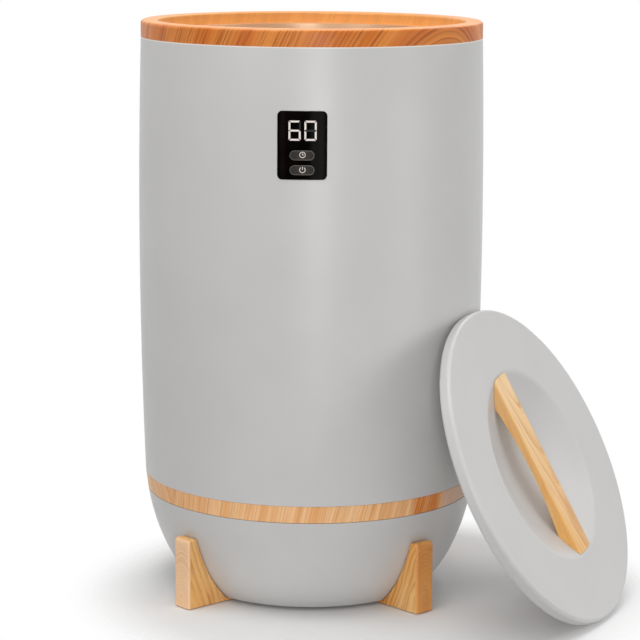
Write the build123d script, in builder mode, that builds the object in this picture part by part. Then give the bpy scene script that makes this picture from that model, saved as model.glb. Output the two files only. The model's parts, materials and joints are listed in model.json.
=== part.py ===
"""Towel warmer bucket: a heated bucket on four feet, with its lid leaning against it.

Millimetres, +Z up. The bucket's axis is the Z axis, the floor is Z = 0 and the
control panel faces -Y. The lid leans on the bucket's right-hand front.
"""

from math import cos, radians, sin, sqrt
import os

from build123d import *

os.makedirs("parts", exist_ok=True)

# ---------------------------------------------------------------- driving sizes
# Housing outline, from the floor up
underside_height = 3.0          # bowl's flat underside above the floor
bowl_top = 88.8                 # where the bowl meets the wood-look band
band_height = 15.4
shell_height = 387.3
ring_height = 14.6

underside_radius = 105.6
gate_pad_radius = 30.0          # raised pad in the middle of the underside
gate_pad_depth = 0.6
knee_radius = 129.4             # where the bowl's two arcs meet
knee_height = 35.0
bowl_waist_radius = 137.8
bowl_waist_height = 55.0
band_bottom_radius = 146.2
shell_foot_radius = 148.2
shell_belly_radius = 152.4      # widest, halfway up the shell
shell_top_radius = 150.0

# Walls and clearances
shell_wall = 2.5
bowl_wall = 3.0
curved_gap = 0.3                # between nested curved faces
screw_gap = 0.05                # shank to pilot hole, radial
shank_gap = 0.2                 # shank to clearance hole, radial
head_gap = 0.8                  # head to counterbore, radial
tip_gap = 1.0                   # below the tip of a big screw
small_tip_gap = 0.5             # below the tip of a small screw
boss_wall = 3.0                 # around a big screw's pilot hole
small_boss_wall = 2.5
edge_break = 0.4                # small chamfers
trim_gap = 0.2                  # seams around the wood-look trims

# Shell: inner ledge under the top ring, lip at its bottom end
ledge_drop = 6.0                # ledge's top face below the shell's top edge
ledge_thickness = 3.5
ledge_inner_radius = 136.0
lip_thickness = 3.0
lip_inner_radius = 131.0
plate_screw_circle = 135.3      # radius of the screws from base plate to lip
plate_boss_height = 12.0

# Top ring
ring_inner_radius = 135.0
ring_wall = 2.5
ring_outer_round = 3.0
ring_inner_round = 2.0
ring_inner_depth = 10.3         # inner wall, down to the bucket's flange
spigot_depth = 5.5              # ring's skirt inside the shell

# Inner bucket
bucket_radius = 125.0
bucket_wall = 1.0
bucket_bottom = 110.0
bucket_corner = 8.0
flange_radius = 137.0
seal_thickness = 1.0
seal_width = 6.0

# Heaters, insulation and safety parts
heater_gap = 0.1                # bucket to the layers around it
heater_thickness = 0.8
side_heater_bottom = 140.0
side_heater_height = 200.0
heater_seam = 24.0              # gap at the back of the wrapped layers
bottom_heater_radius = 100.0
bottom_heater_thickness = 1.2
side_insulation_radius = 134.0
side_insulation_bottom = 124.0
side_insulation_top_gap = 12.0  # below the collar's underside
bottom_insulation_radius = 120.0
thermostat_radius = 8.0
thermostat_height = 8.0
thermostat_room = 4.0           # free ring around the thermostat
tab_size = (0.8, 4.8, 4.0)
sensor_size = (6.0, 4.0, 12.0)
sensor_round = 1.0
sensor_height = 250.0
fuse_radius = 2.0
fuse_length = 14.0
fuse_height = 180.0

# Base plate
plate_thickness = 3.0
plate_height = 92.0             # its underside
plate_rim_radius = 142.2
plate_rim_wall = 2.8
plate_rim_depth = 3.0           # spigot into the bowl
bowl_screw_circle = 84.0
bowl_post_top = 78.0
bowl_post_radius = 6.5
post_seat_depth = 6.0           # screw seat below the post's top
cable_hole = (18.0, 9.0)
cable_hole_round = 2.0

# Control panel, centred on the front
control_drop = 80.3             # its centre below the shell's top edge
panel_width = 41.0
panel_length = 56.5
panel_corner = 4.0
panel_proud = 0.4
panel_flange = 3.0              # wider than the window, all round
panel_flange_thickness = 1.5
display_rise = 12.0             # display's centre above the panel's
display_size = (26.0, 20.0, 5.4)
timer_drop = 8.1                # button centres below the panel's centre
power_drop = 20.3
button_length = 20.5
button_width = 8.1
button_proud = 0.35             # above the panel's face
button_gap = 0.2
button_travel = 1.0
button_stop_gap = 0.3
button_flange = 1.0
button_flange_thickness = 1.5
switch_size = (6.0, 6.0, 3.5)
plunger_radius = 1.6
plunger_engagement = 1.2        # in the switch's bore at rest
running_gap = 0.1

# Control board and its carrier
board_setback = 10.9            # board's front face behind the panel's nearest edge
board_size = (42.0, 60.0, 1.6)
carrier_thickness = 2.0
carrier_screw_x = 27.0
carrier_screw_z = 36.0
carrier_boss_front = 3.2        # forward of the carrier's plate
carrier_pilot = 3.8             # depth of the pilot holes in the shell's bosses
board_screw_x = 17.5
board_screw_z = 26.5

# Power board in the bowl
power_board_size = (100.0, 70.0, 1.6)
power_board_post = 8.0
power_board_screw_x = 44.0
power_board_screw_y = 29.0
transformer_size = (30.0, 26.0, 22.0)
transformer_at = (-28.0, -12.0)
winding_share = 0.6             # of the core's length
winding_round = 3.0
relay_size = (19.0, 15.5, 15.5)
relay_at = (26.0, -14.0)
capacitor_radius = 6.0
capacitor_height = 18.0
capacitor_at = (4.0, -2.0)
terminal_size = (40.0, 12.0, 14.0)
terminal_y = 24.0
part_edge = 0.6                 # edges of the relay and the capacitor

# Feet
foot_angles = {
    "foot_front_left": 225.0,
    "foot_front_right": 315.0,
    "foot_rear_right": 45.0,
    "foot_rear_left": 135.0,
}
foot_outer_radius = 149.8
foot_tip_radius = 90.4
foot_height = 62.8
foot_width = 19.6
foot_round = 1.8
foot_top_round = 4.0
foot_inner_round = 3.5
pad_thickness = 2.0
pad_proud = 0.8
pad_inner_radius = 108.0
pad_margin = 3.0
pad_round = 2.0
foot_screw_heights = (24.0, 44.0)
foot_screw_bite = 12.0          # shank length inside the foot
foot_boss_depth = 8.0

# Cord gland at the back of the bowl
gland_height = 70.0
gland_bore_radius = 3.6
gland_body_radius = 6.0
gland_flange_radius = 9.0
gland_flange_thickness = 3.0
gland_pad_radius = 11.0
gland_pad_outer = 145.2         # flat seats for the gland, outside and inside
gland_pad_inner = 134.5
gland_nut_thickness = 4.0
gland_tail = 0.5
gland_round = 1.0

# Wiring inside the housing
lead_radius = 1.5
lead_spread = 5.0               # each side of the middle
lead_gap = 1.5                  # bucket to lead
lead_start = 20.0               # above the side heater's lower edge
lead_drop = 25.0                # below the base plate, before the turn
lead_swing = 30.0               # behind the terminal block
lead_tip_gap = 1.0              # in the terminal block's entries
lead_bend = 12.0
ribbon_size = (12.0, 1.2)
ribbon_gap = 2.5                # ribbon to the shell's lip
ribbon_tail = 4.0               # above the control board's lower edge
ribbon_step = 10.0              # straight before each bend
ribbon_drop = 32.0              # below the board and below the base plate, to the turn
ribbon_slant = 15.0             # below the side insulation, back towards the shell's lip
ribbon_swing = 30.0             # in front of the power board
ribbon_land = 5.0               # onto the power board
ribbon_bend = 8.0

# Screws: shank radius, head radius, head height
screw_shank = 1.5
screw_head = 2.8
screw_head_height = 2.0
big_shank = 1.95
big_head = 3.8
big_head_height = 2.5
cross_length = 2.4              # cross in a head, in shank radii
cross_width = 0.5

# Lid
lid_radius = 143.0
lid_thickness = 11.2
lid_round = 3.0
lid_wall = 2.5
dish_radius = 85.0
dish_depth = 24.0
dish_lip = 12.0                 # round from the face into the dish
dish_wall = 2.2
plug_radius = 132.6
plug_guide = 3.0
plug_taper_radius = 118.0
plug_taper_depth = 9.3
plug_floor_radius = 90.0
plug_floor_depth = 18.8
liner_wall = 2.0
rim_wall = 3.6
lid_seal_width = 2.0
lid_seal_height = 2.6
insulation_gap = 0.6
handle_width = 28.0
handle_thickness = 6.4          # in the middle of the arch
handle_foot_depth = 11.0        # underside at the ends of the arch
handle_arch = 62.0              # half the arch's span
handle_round = 1.2
handle_turn = 7.2               # bar's lean from the slope line
handle_screw_at = 66.0
handle_screw_skin = 3.0         # wood left above the screws
handle_gap = 0.15               # between the bar's ends and the dish
handle_boss_wall = 1.5          # around the screw heads under the dish

# How the lid leans: turned from the front towards the right, its face raised
lid_azimuth = 66.06
lid_raise = 26.57
lean_gap = 0.3                  # between the lid's rim and the shell

# ------------------------------------------------------------- derived heights
shell_bottom = bowl_top + band_height
shell_top = shell_bottom + shell_height
ring_top = shell_top + ring_height
control_height = shell_top - control_drop
shell_middle = (shell_bottom + shell_top) / 2
flange_top = ring_top - ring_inner_depth
collar_top = flange_top - bucket_wall - seal_thickness
ledge_top = shell_top - ledge_drop
plate_top = plate_height + plate_thickness
bowl_floor = underside_height + bowl_wall


def arc_radius(height):
    """Outer radius of the shell at a height, on the arc through its three radii."""
    rise = shell_height / 2
    chord_slope = (shell_top_radius - shell_foot_radius) / shell_height
    bulge = shell_belly_radius - (shell_top_radius + shell_foot_radius) / 2
    along = (height - shell_middle) / rise
    return shell_belly_radius + chord_slope * (height - shell_middle) - bulge * along**2


def shell_solid(grow):
    """Solid of the shell's outline, grown by the given amount."""
    with BuildPart() as solid:
        with BuildSketch(Plane.XZ):
            with BuildLine():
                ThreePointArc(
                    (shell_foot_radius + grow, shell_bottom),
                    (shell_belly_radius + grow, shell_middle),
                    (shell_top_radius + grow, shell_top),
                )
                Polyline(
                    (shell_top_radius + grow, shell_top),
                    (0, shell_top),
                    (0, shell_bottom),
                    (shell_foot_radius + grow, shell_bottom),
                )
            make_face()
        revolve(axis=Axis.Z)
    return solid.part


def bowl_face(grow):
    """Half section of the bowl in radius and height, grown by the given amount."""
    with BuildSketch() as section:
        with BuildLine():
            side = ThreePointArc(
                (band_bottom_radius + grow, bowl_top),
                (bowl_waist_radius + grow, bowl_waist_height),
                (knee_radius + grow, knee_height),
            )
            TangentArc(
                (knee_radius + grow, knee_height),
                (underside_radius + grow, underside_height - grow),
                tangent=side % 1,
            )
            Polyline(
                (underside_radius + grow, underside_height - grow),
                (0, underside_height - grow),
                (0, bowl_top),
                (band_bottom_radius + grow, bowl_top),
            )
        make_face()
    return section.sketch


def bowl_solid(grow):
    """Solid of the bowl's outline, grown by the given amount."""
    with BuildPart() as solid:
        with BuildSketch(Plane.XZ):
            add(bowl_face(grow))
        revolve(axis=Axis.Z)
    return solid.part


def front_plane(depth, height=0.0):
    """Plane facing the front at a distance from the axis, centred at a height."""
    return Plane(origin=(0, -depth, height), x_dir=(1, 0, 0), z_dir=(0, -1, 0))


def radial_plane(angle, radius, height):
    """Plane facing outwards at an angle, a radius and a height."""
    outward = Vector(cos(radians(angle)), sin(radians(angle)), 0)
    return Plane(
        origin=outward * radius + Vector(0, 0, height),
        x_dir=outward.cross(Vector(0, 0, 1)),
        z_dir=outward,
    )


def save(piece, label):
    """Label a finished piece and write its file."""
    piece.label = label
    export_step(piece, f"parts/{label}.step")


# ================================================================ housing shell
window_gap = curved_gap / 2
carrier_columns = [
    (x, z)
    for x in (-carrier_screw_x, carrier_screw_x)
    for z in (-carrier_screw_z, carrier_screw_z)
]
panel_reach = min(
    arc_radius(control_height - panel_length / 2), arc_radius(control_height + panel_length / 2)
)
board_front = panel_reach - board_setback
board_back = board_front - board_size[2]
carrier_back = board_back - carrier_thickness
carrier_front = board_back + carrier_boss_front
carrier_boss_radius = screw_shank + screw_gap + small_boss_wall
plate_boss_radius = big_shank + screw_gap + boss_wall
front_reach = 2 * board_setback + shell_wall    # from the board out through the wall

shell_outline = shell_solid(0)
shell_inside = shell_solid(-shell_wall)

with BuildPart() as outer_shell:
    add(shell_outline)
    add(shell_inside, mode=Mode.SUBTRACT)
    # ledge that carries the collar
    with BuildSketch(Plane.XY.offset(ledge_top - ledge_thickness)):
        Circle(shell_top_radius - shell_wall / 2)
        Circle(ledge_inner_radius, mode=Mode.SUBTRACT)
    extrude(amount=ledge_thickness)
    # lip that the base plate is screwed to
    with BuildSketch(Plane.XY.offset(shell_bottom)):
        Circle(shell_foot_radius - shell_wall / 2)
        Circle(lip_inner_radius, mode=Mode.SUBTRACT)
    extrude(amount=lip_thickness)
    with BuildSketch(Plane.XY.offset(shell_bottom)):
        with PolarLocations(plate_screw_circle, 4, start_angle=45):
            Circle(plate_boss_radius)
    extrude(amount=lip_thickness + plate_boss_height)
    # bosses that carry the control board behind the window
    with BuildSketch(front_plane(carrier_front, control_height)):
        with Locations(*carrier_columns):
            Circle(carrier_boss_radius)
    extrude(amount=front_reach)
    add(shell_outline, mode=Mode.INTERSECT)
    # window for the control panel
    with BuildSketch(front_plane(board_front, control_height)):
        RectangleRounded(
            panel_width + 2 * window_gap,
            panel_length + 2 * window_gap,
            panel_corner + window_gap,
        )
    extrude(amount=front_reach, mode=Mode.SUBTRACT)
    # pilot holes
    with BuildSketch(front_plane(carrier_front, control_height)):
        with Locations(*carrier_columns):
            Circle(screw_shank + screw_gap)
    extrude(amount=carrier_pilot, mode=Mode.SUBTRACT)
    with BuildSketch(Plane.XY.offset(shell_bottom)):
        with PolarLocations(plate_screw_circle, 4, start_angle=45):
            Circle(big_shank + screw_gap)
    extrude(amount=plate_boss_height, mode=Mode.SUBTRACT)
save(outer_shell.part, "outer_shell")

# ===================================================================== top ring
ring_cavity_top = ring_top - ring_wall
spigot_outer = shell_top_radius - shell_wall - curved_gap
spigot_inner = spigot_outer - ring_wall

with BuildPart() as top_ring:
    with BuildSketch(Plane.XZ) as ring_section:
        Polygon(
            (ring_inner_radius, flange_top),
            (ring_inner_radius, ring_top),
            (shell_top_radius, ring_top),
            (shell_top_radius, shell_top),
            (spigot_outer, shell_top),
            (spigot_outer, shell_top - spigot_depth),
            (spigot_inner, shell_top - spigot_depth),
            (spigot_inner, ring_cavity_top),
            (ring_inner_radius + ring_wall, ring_cavity_top),
            (ring_inner_radius + ring_wall, flange_top),
            align=None,
        )
        crown = ring_section.vertices().group_by(Axis.Y)[-1].sort_by(Axis.X)
        fillet(crown[0], ring_inner_round)
        crown = ring_section.vertices().group_by(Axis.Y)[-1].sort_by(Axis.X)
        fillet(crown[-1], ring_outer_round)
    revolve(axis=Axis.Z)
save(top_ring.part, "top_ring")

# ================================================================= inner bucket
same_point = 0.01               # corners closer than this are one

with BuildPart() as inner_bucket:
    with BuildSketch(Plane.XZ) as bucket_section:
        Polygon(
            (0, bucket_bottom),
            (bucket_radius, bucket_bottom),
            (bucket_radius, flange_top - bucket_wall),
            (flange_radius, flange_top - bucket_wall),
            (flange_radius, flange_top),
            (bucket_radius - bucket_wall, flange_top),
            (bucket_radius - bucket_wall, bucket_bottom + bucket_wall),
            (0, bucket_bottom + bucket_wall),
            align=None,
        )
        outer_corner = bucket_section.vertices().filter_by(
            lambda v: abs(v.X - bucket_radius) < same_point and abs(v.Y - bucket_bottom) < same_point
        )
        fillet(outer_corner, bucket_corner)
        inner_corner = bucket_section.vertices().filter_by(
            lambda v: abs(v.X - bucket_radius + bucket_wall) < same_point
            and abs(v.Y - bucket_bottom - bucket_wall) < same_point
        )
        fillet(inner_corner, bucket_corner - bucket_wall)
    revolve(axis=Axis.Z)
save(inner_bucket.part, "inner_bucket")

# ------------------------------------------------ collar and seal at the flange
collar_outer = spigot_inner - curved_gap
collar_inner = bucket_radius + 2 * curved_gap

with BuildPart() as bucket_collar:
    with BuildSketch(Plane.XY.offset(ledge_top)):
        Circle(collar_outer)
        Circle(collar_inner, mode=Mode.SUBTRACT)
    extrude(amount=collar_top - ledge_top)
    # hollow underneath, between two walls
    with BuildSketch(Plane.XY.offset(ledge_top)):
        Circle(collar_outer - ring_wall)
        Circle(collar_inner + ring_wall, mode=Mode.SUBTRACT)
    extrude(amount=collar_top - ledge_top - ring_wall, mode=Mode.SUBTRACT)
save(bucket_collar.part, "bucket_collar")

with BuildPart() as flange_seal:
    with BuildSketch(Plane.XY.offset(collar_top)):
        Circle(flange_radius)
        Circle(flange_radius - seal_width, mode=Mode.SUBTRACT)
    extrude(amount=seal_thickness)
save(flange_seal.part, "flange_seal")

# ======================================================= heaters and insulation
heater_inner = bucket_radius + heater_gap
seam_length = bucket_radius + side_insulation_radius


def wrapped_layer(inner, outer, bottom, height):
    """Layer wrapped around the bucket, open along a seam at the back."""
    with BuildPart() as layer:
        with BuildSketch(Plane.XY.offset(bottom)):
            Circle(outer)
            Circle(inner, mode=Mode.SUBTRACT)
            with Locations((0, seam_length / 2)):
                Rectangle(heater_seam, seam_length, mode=Mode.SUBTRACT)
        extrude(amount=height)
    return layer.part


save(
    wrapped_layer(
        heater_inner,
        heater_inner + heater_thickness,
        side_heater_bottom,
        side_heater_height,
    ),
    "side_heater",
)

insulation_inner = heater_inner + heater_thickness + curved_gap
insulation_top = ledge_top - side_insulation_top_gap
save(
    wrapped_layer(
        insulation_inner,
        side_insulation_radius,
        side_insulation_bottom,
        insulation_top - side_insulation_bottom,
    ),
    "side_insulation",
)

room_radius = thermostat_radius + thermostat_room
bottom_heater_base = bucket_bottom - bottom_heater_thickness

with BuildPart() as bottom_heater:
    with BuildSketch(Plane.XY.offset(bottom_heater_base)):
        Circle(bottom_heater_radius)
        Circle(room_radius, mode=Mode.SUBTRACT)
    extrude(amount=bottom_heater_thickness)
save(bottom_heater.part, "bottom_heater")

with BuildPart() as bottom_insulation:
    with BuildSketch(Plane.XY.offset(plate_top)):
        Circle(bottom_insulation_radius)
        Circle(room_radius, mode=Mode.SUBTRACT)
    extrude(amount=bottom_heater_base - plate_top)
save(bottom_insulation.part, "bottom_insulation")

with BuildPart() as thermostat:
    with BuildSketch(Plane.XY.offset(bucket_bottom - thermostat_height)):
        Circle(thermostat_radius)
    extrude(amount=thermostat_height)
    # terminal tabs
    with BuildSketch(Plane.XY.offset(bucket_bottom - thermostat_height - tab_size[2])):
        with GridLocations(thermostat_radius, 0, 2, 1):
            Rectangle(tab_size[0], tab_size[1])
    extrude(amount=tab_size[2])
save(thermostat.part, "thermostat")

with BuildPart() as temperature_sensor:
    with BuildSketch(Plane.XY.offset(sensor_height)):
        with Locations((0, heater_inner + sensor_size[1] / 2)):
            RectangleRounded(sensor_size[0], sensor_size[1], sensor_round)
    extrude(amount=sensor_size[2])
save(temperature_sensor.part, "temperature_sensor")

with BuildPart() as thermal_fuse:
    with BuildSketch(Plane.XY.offset(fuse_height)):
        with Locations((0, heater_inner + fuse_radius)):
            Circle(fuse_radius)
    extrude(amount=fuse_length)
save(thermal_fuse.part, "thermal_fuse")

# =================================================================== base plate
lead_y = bucket_radius + lead_radius + lead_gap
ribbon_y = lip_inner_radius - ribbon_gap
plate_boss_depth = plate_height - bowl_post_top

with BuildPart() as base_plate:
    with BuildSketch(Plane.XY.offset(plate_height)):
        Circle(plate_rim_radius)
    extrude(amount=plate_thickness)
    # rim that carries the band and centres the bowl
    with BuildSketch(Plane.XY.offset(bowl_top - plate_rim_depth)):
        Circle(plate_rim_radius)
        Circle(plate_rim_radius - plate_rim_wall, mode=Mode.SUBTRACT)
    extrude(amount=shell_bottom - bowl_top + plate_rim_depth)
    # columns up to the shell's lip
    with BuildSketch(Plane.XY.offset(plate_height)):
        with PolarLocations(plate_screw_circle, 4, start_angle=45):
            Circle(plate_boss_radius)
    extrude(amount=shell_bottom - plate_height)
    # bosses down to the bowl's posts
    with BuildSketch(Plane.XY.offset(bowl_post_top)):
        with PolarLocations(bowl_screw_circle, 4, start_angle=45):
            Circle(plate_boss_radius)
    extrude(amount=plate_boss_depth)
    # holes for both sets of screws
    with BuildSketch(Plane.XY.offset(plate_height)):
        with PolarLocations(plate_screw_circle, 4, start_angle=45):
            Circle(big_shank + shank_gap)
    extrude(amount=shell_bottom - plate_height, mode=Mode.SUBTRACT)
    with BuildSketch(Plane.XY.offset(bowl_post_top)):
        with PolarLocations(bowl_screw_circle, 4, start_angle=45):
            Circle(big_shank + screw_gap)
    extrude(amount=plate_boss_depth + plate_thickness / 2, mode=Mode.SUBTRACT)
    # cable holes, front and back
    with BuildSketch(Plane.XY.offset(plate_height)):
        with Locations((0, -ribbon_y), (0, lead_y)):
            RectangleRounded(*cable_hole, cable_hole_round)
    extrude(amount=plate_thickness, mode=Mode.SUBTRACT)
save(base_plate.part, "base_plate")

# =================================================================== trim band
with BuildPart() as trim_band:
    with BuildSketch(Plane.XZ) as band_section:
        Polygon(
            (plate_rim_radius + curved_gap / 2, bowl_top + trim_gap),
            (band_bottom_radius, bowl_top + trim_gap),
            (shell_foot_radius, shell_bottom - trim_gap),
            (plate_rim_radius + curved_gap / 2, shell_bottom - trim_gap),
            align=None,
        )
        outer_corners = band_section.vertices().sort_by(Axis.X)[-2:]
        chamfer(outer_corners, edge_break)
    revolve(axis=Axis.Z)
save(trim_band.part, "trim_band")

# =================================================================== base bowl
bowl_outline = bowl_solid(0)
bowl_inside = bowl_solid(-bowl_wall)
post_hole = big_shank + shank_gap
post_counterbore = big_head + head_gap
post_seat = bowl_post_top - post_seat_depth


def bowl_inner_radius(height):
    """Inside radius of the bowl at a height, read along a level line."""
    ray = Edge.make_line((0, height), (band_bottom_radius * 2, height))
    crossings = bowl_face(-bowl_wall).face().outer_wire().edges()
    reach = [point.X for edge in crossings for point in ray.find_intersection_points(edge)]
    return max(reach)


foot_screw_seats = {
    height: bowl_inner_radius(height) - foot_boss_depth for height in foot_screw_heights
}
foot_boss_radius = big_shank + shank_gap + boss_wall

with BuildPart() as base_bowl:
    add(bowl_outline)
    add(bowl_inside, mode=Mode.SUBTRACT)
    # posts for the long screws, and posts for the power board
    with BuildSketch(Plane.XY.offset(underside_height)):
        with PolarLocations(bowl_screw_circle, 4, start_angle=45):
            Circle(bowl_post_radius)
    extrude(amount=bowl_post_top - underside_height)
    with BuildSketch(Plane.XY.offset(underside_height)):
        with GridLocations(2 * power_board_screw_x, 2 * power_board_screw_y, 2, 2):
            Circle(carrier_boss_radius)
    extrude(amount=bowl_wall + power_board_post)
    # bosses behind each foot
    for angle in foot_angles.values():
        for height, seat in foot_screw_seats.items():
            with BuildSketch(radial_plane(angle, seat, height)):
                Circle(foot_boss_radius)
            extrude(amount=foot_outer_radius - seat)
    add(bowl_outline, mode=Mode.INTERSECT)
    with BuildSketch(Plane.XY.offset(underside_height - gate_pad_depth)):
        Circle(gate_pad_radius)
    extrude(amount=gate_pad_depth + bowl_wall / 2)
    # flat seats for the cord gland, outside and inside
    with BuildSketch(radial_plane(90, gland_pad_inner, gland_height)):
        Circle(gland_pad_radius)
    extrude(amount=gland_pad_outer - gland_pad_inner)
    # holes
    with BuildSketch(Plane.XY.offset(underside_height)):
        with PolarLocations(bowl_screw_circle, 4, start_angle=45):
            Circle(post_counterbore)
    extrude(amount=post_seat - underside_height, mode=Mode.SUBTRACT)
    with BuildSketch(Plane.XY.offset(post_seat)):
        with PolarLocations(bowl_screw_circle, 4, start_angle=45):
            Circle(post_hole)
    extrude(amount=bowl_post_top - post_seat, mode=Mode.SUBTRACT)
    with BuildSketch(Plane.XY.offset(bowl_floor)):
        with GridLocations(2 * power_board_screw_x, 2 * power_board_screw_y, 2, 2):
            Circle(screw_shank + screw_gap)
    extrude(amount=power_board_post, mode=Mode.SUBTRACT)
    for angle in foot_angles.values():
        for height, seat in foot_screw_seats.items():
            with BuildSketch(radial_plane(angle, seat, height)):
                Circle(big_shank + shank_gap)
            extrude(amount=foot_outer_radius - seat, mode=Mode.SUBTRACT)
    with BuildSketch(radial_plane(90, gland_pad_inner, gland_height)):
        Circle(gland_body_radius + curved_gap / 2)
    extrude(amount=gland_pad_outer - gland_pad_inner, mode=Mode.SUBTRACT)
save(base_bowl.part, "base_bowl")

# ======================================================================== feet
pad_width = foot_width - 2 * pad_margin
pad_outer_radius = foot_outer_radius - pad_margin
pad_length = pad_outer_radius - pad_inner_radius
pad_middle = (pad_outer_radius + pad_inner_radius) / 2
bowl_section = bowl_face(curved_gap / 2)

for foot_name, angle in foot_angles.items():
    outward = Vector(cos(radians(angle)), sin(radians(angle)), 0)
    side_plane = Plane(
        origin=(0, 0, 0), x_dir=outward, z_dir=outward.cross(Vector(0, 0, 1))
    )
    with BuildPart() as foot:
        with BuildSketch(side_plane) as foot_section:
            Polygon(
                (foot_tip_radius, pad_proud),
                (foot_outer_radius, pad_proud),
                (foot_outer_radius, foot_height),
                (underside_radius, foot_height),
                align=None,
            )
            add(bowl_section, mode=Mode.SUBTRACT)
            top_corners = foot_section.vertices().group_by(Axis.Y)[-1].sort_by(Axis.X)
            fillet(top_corners[0], foot_inner_round)
        extrude(amount=foot_width / 2, both=True)
        outer_face = foot.faces().sort_by(Axis(side_plane.origin, outward))[-1]
        top_edges = outer_face.edges().filter_by(GeomType.LINE).sort_by(Axis.Z)
        fillet(top_edges[-1], foot_top_round)
        upright = foot.edges().filter_by(Axis.Z)
        fillet(upright, foot_round)
        # recess for the pad
        with BuildSketch(Plane.XY.offset(pad_proud)):
            with PolarLocations(pad_middle, 1, start_angle=angle):
                RectangleRounded(
                    pad_length + 2 * trim_gap, pad_width + 2 * trim_gap, pad_round
                )
        extrude(amount=pad_thickness - pad_proud, mode=Mode.SUBTRACT)
        # pilot holes for the screws from inside the bowl
        for height, seat in foot_screw_seats.items():
            with BuildSketch(radial_plane(angle, seat, height)):
                Circle(big_shank + screw_gap)
            extrude(amount=foot_boss_depth + bowl_wall + foot_screw_bite, mode=Mode.SUBTRACT)
    save(foot.part, foot_name)

    with BuildPart() as foot_pad:
        with BuildSketch(Plane.XY):
            with PolarLocations(pad_middle, 1, start_angle=angle):
                RectangleRounded(pad_length, pad_width, pad_round)
        extrude(amount=pad_thickness)
    save(foot_pad.part, foot_name.replace("foot", "foot_pad"))

# ====================================================================== screws
big_screw = (big_shank, big_head, big_head_height)
small_screw = (screw_shank, screw_head, screw_head_height)


def screws(seats, size, bite, label):
    """Group of equal screws: each seat is a plane under a head, facing its shank."""
    shank, head, head_height = size
    with BuildPart() as group:
        for seat in seats:
            with BuildSketch(seat):
                Circle(shank)
            extrude(amount=bite)
            with BuildSketch(seat):
                Circle(head)
            driven = extrude(amount=-head_height)
            with BuildSketch(seat.offset(-head_height)):
                Rectangle(shank * cross_length, shank * cross_width)
                Rectangle(shank * cross_width, shank * cross_length)
            extrude(amount=head_height / 2, mode=Mode.SUBTRACT)
    save(group.part, label)


def up_from(height, points):
    """Planes facing up at a height, one at each point."""
    return [Plane(origin=(x, y, height)) for x, y in points]


def on_circle(radius):
    """Four points on a circle, at the corners between the sides."""
    return [
        (radius * cos(radians(angle)), radius * sin(radians(angle)))
        for angle in foot_angles.values()
    ]


foot_seats = [
    radial_plane(angle, seat, height)
    for angle in foot_angles.values()
    for height, seat in foot_screw_seats.items()
]
screws(
    foot_seats,
    big_screw,
    foot_boss_depth + bowl_wall + foot_screw_bite - tip_gap,
    "foot_screws",
)
screws(
    up_from(post_seat, on_circle(bowl_screw_circle)),
    big_screw,
    bowl_post_top - post_seat + plate_boss_depth - tip_gap,
    "bowl_screws",
)
screws(
    up_from(plate_height, on_circle(plate_screw_circle)),
    big_screw,
    shell_bottom - plate_height + plate_boss_height - tip_gap,
    "plate_screws",
)

# ================================================================== cord gland
with BuildPart() as cord_gland:
    with BuildSketch(radial_plane(90, gland_pad_outer, gland_height)):
        Circle(gland_flange_radius)
    extrude(amount=gland_flange_thickness)
    outer_rim = cord_gland.faces().sort_by(Axis.Y)[-1].edges()
    fillet(outer_rim, gland_round)
    gland_inner_end = gland_pad_inner - gland_nut_thickness - gland_tail
    with BuildSketch(radial_plane(90, gland_inner_end, gland_height)):
        Circle(gland_body_radius)
    extrude(amount=gland_pad_outer - gland_inner_end)
    with BuildSketch(radial_plane(90, gland_inner_end, gland_height)):
        Circle(gland_bore_radius)
    extrude(
        amount=gland_pad_outer + gland_flange_thickness - gland_inner_end,
        mode=Mode.SUBTRACT,
    )
save(cord_gland.part, "cord_gland")

with BuildPart() as gland_nut:
    with BuildSketch(radial_plane(90, gland_pad_inner - gland_nut_thickness, gland_height)):
        RegularPolygon(gland_flange_radius, 6)
        Circle(gland_body_radius + screw_gap, mode=Mode.SUBTRACT)
    extrude(amount=gland_nut_thickness)
save(gland_nut.part, "gland_nut")

# =============================================================== control panel
panel_face = shell_solid(panel_proud)
flange_face = shell_solid(-shell_wall - curved_gap)
panel_back = shell_solid(-shell_wall - curved_gap - panel_flange_thickness)
button_heights = {
    "timer": control_height - timer_drop,
    "power": control_height - power_drop,
}

with BuildPart() as control_panel:
    with BuildSketch(front_plane(board_front, control_height)):
        RectangleRounded(
            panel_width + 2 * panel_flange,
            panel_length + 2 * panel_flange,
            panel_corner + panel_flange,
        )
    extrude(amount=front_reach)
    add(flange_face, mode=Mode.INTERSECT)
    with BuildSketch(front_plane(board_front, control_height)):
        RectangleRounded(panel_width, panel_length, panel_corner)
    extrude(amount=front_reach)
    add(panel_face, mode=Mode.INTERSECT)
    add(panel_back, mode=Mode.SUBTRACT)
    for height in button_heights.values():
        with BuildSketch(front_plane(board_front, height)):
            SlotOverall(button_length + 2 * button_gap, button_width + 2 * button_gap)
        extrude(amount=front_reach, mode=Mode.SUBTRACT)
save(control_panel.part, "control_panel")

# ==================================================== buttons and their switches
button_face = shell_solid(panel_proud + button_proud)
button_back = board_front + switch_size[2] + button_travel + button_stop_gap
plunger_length = button_travel + button_stop_gap + plunger_engagement
switch_bore = plunger_engagement + button_travel + button_stop_gap

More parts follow.
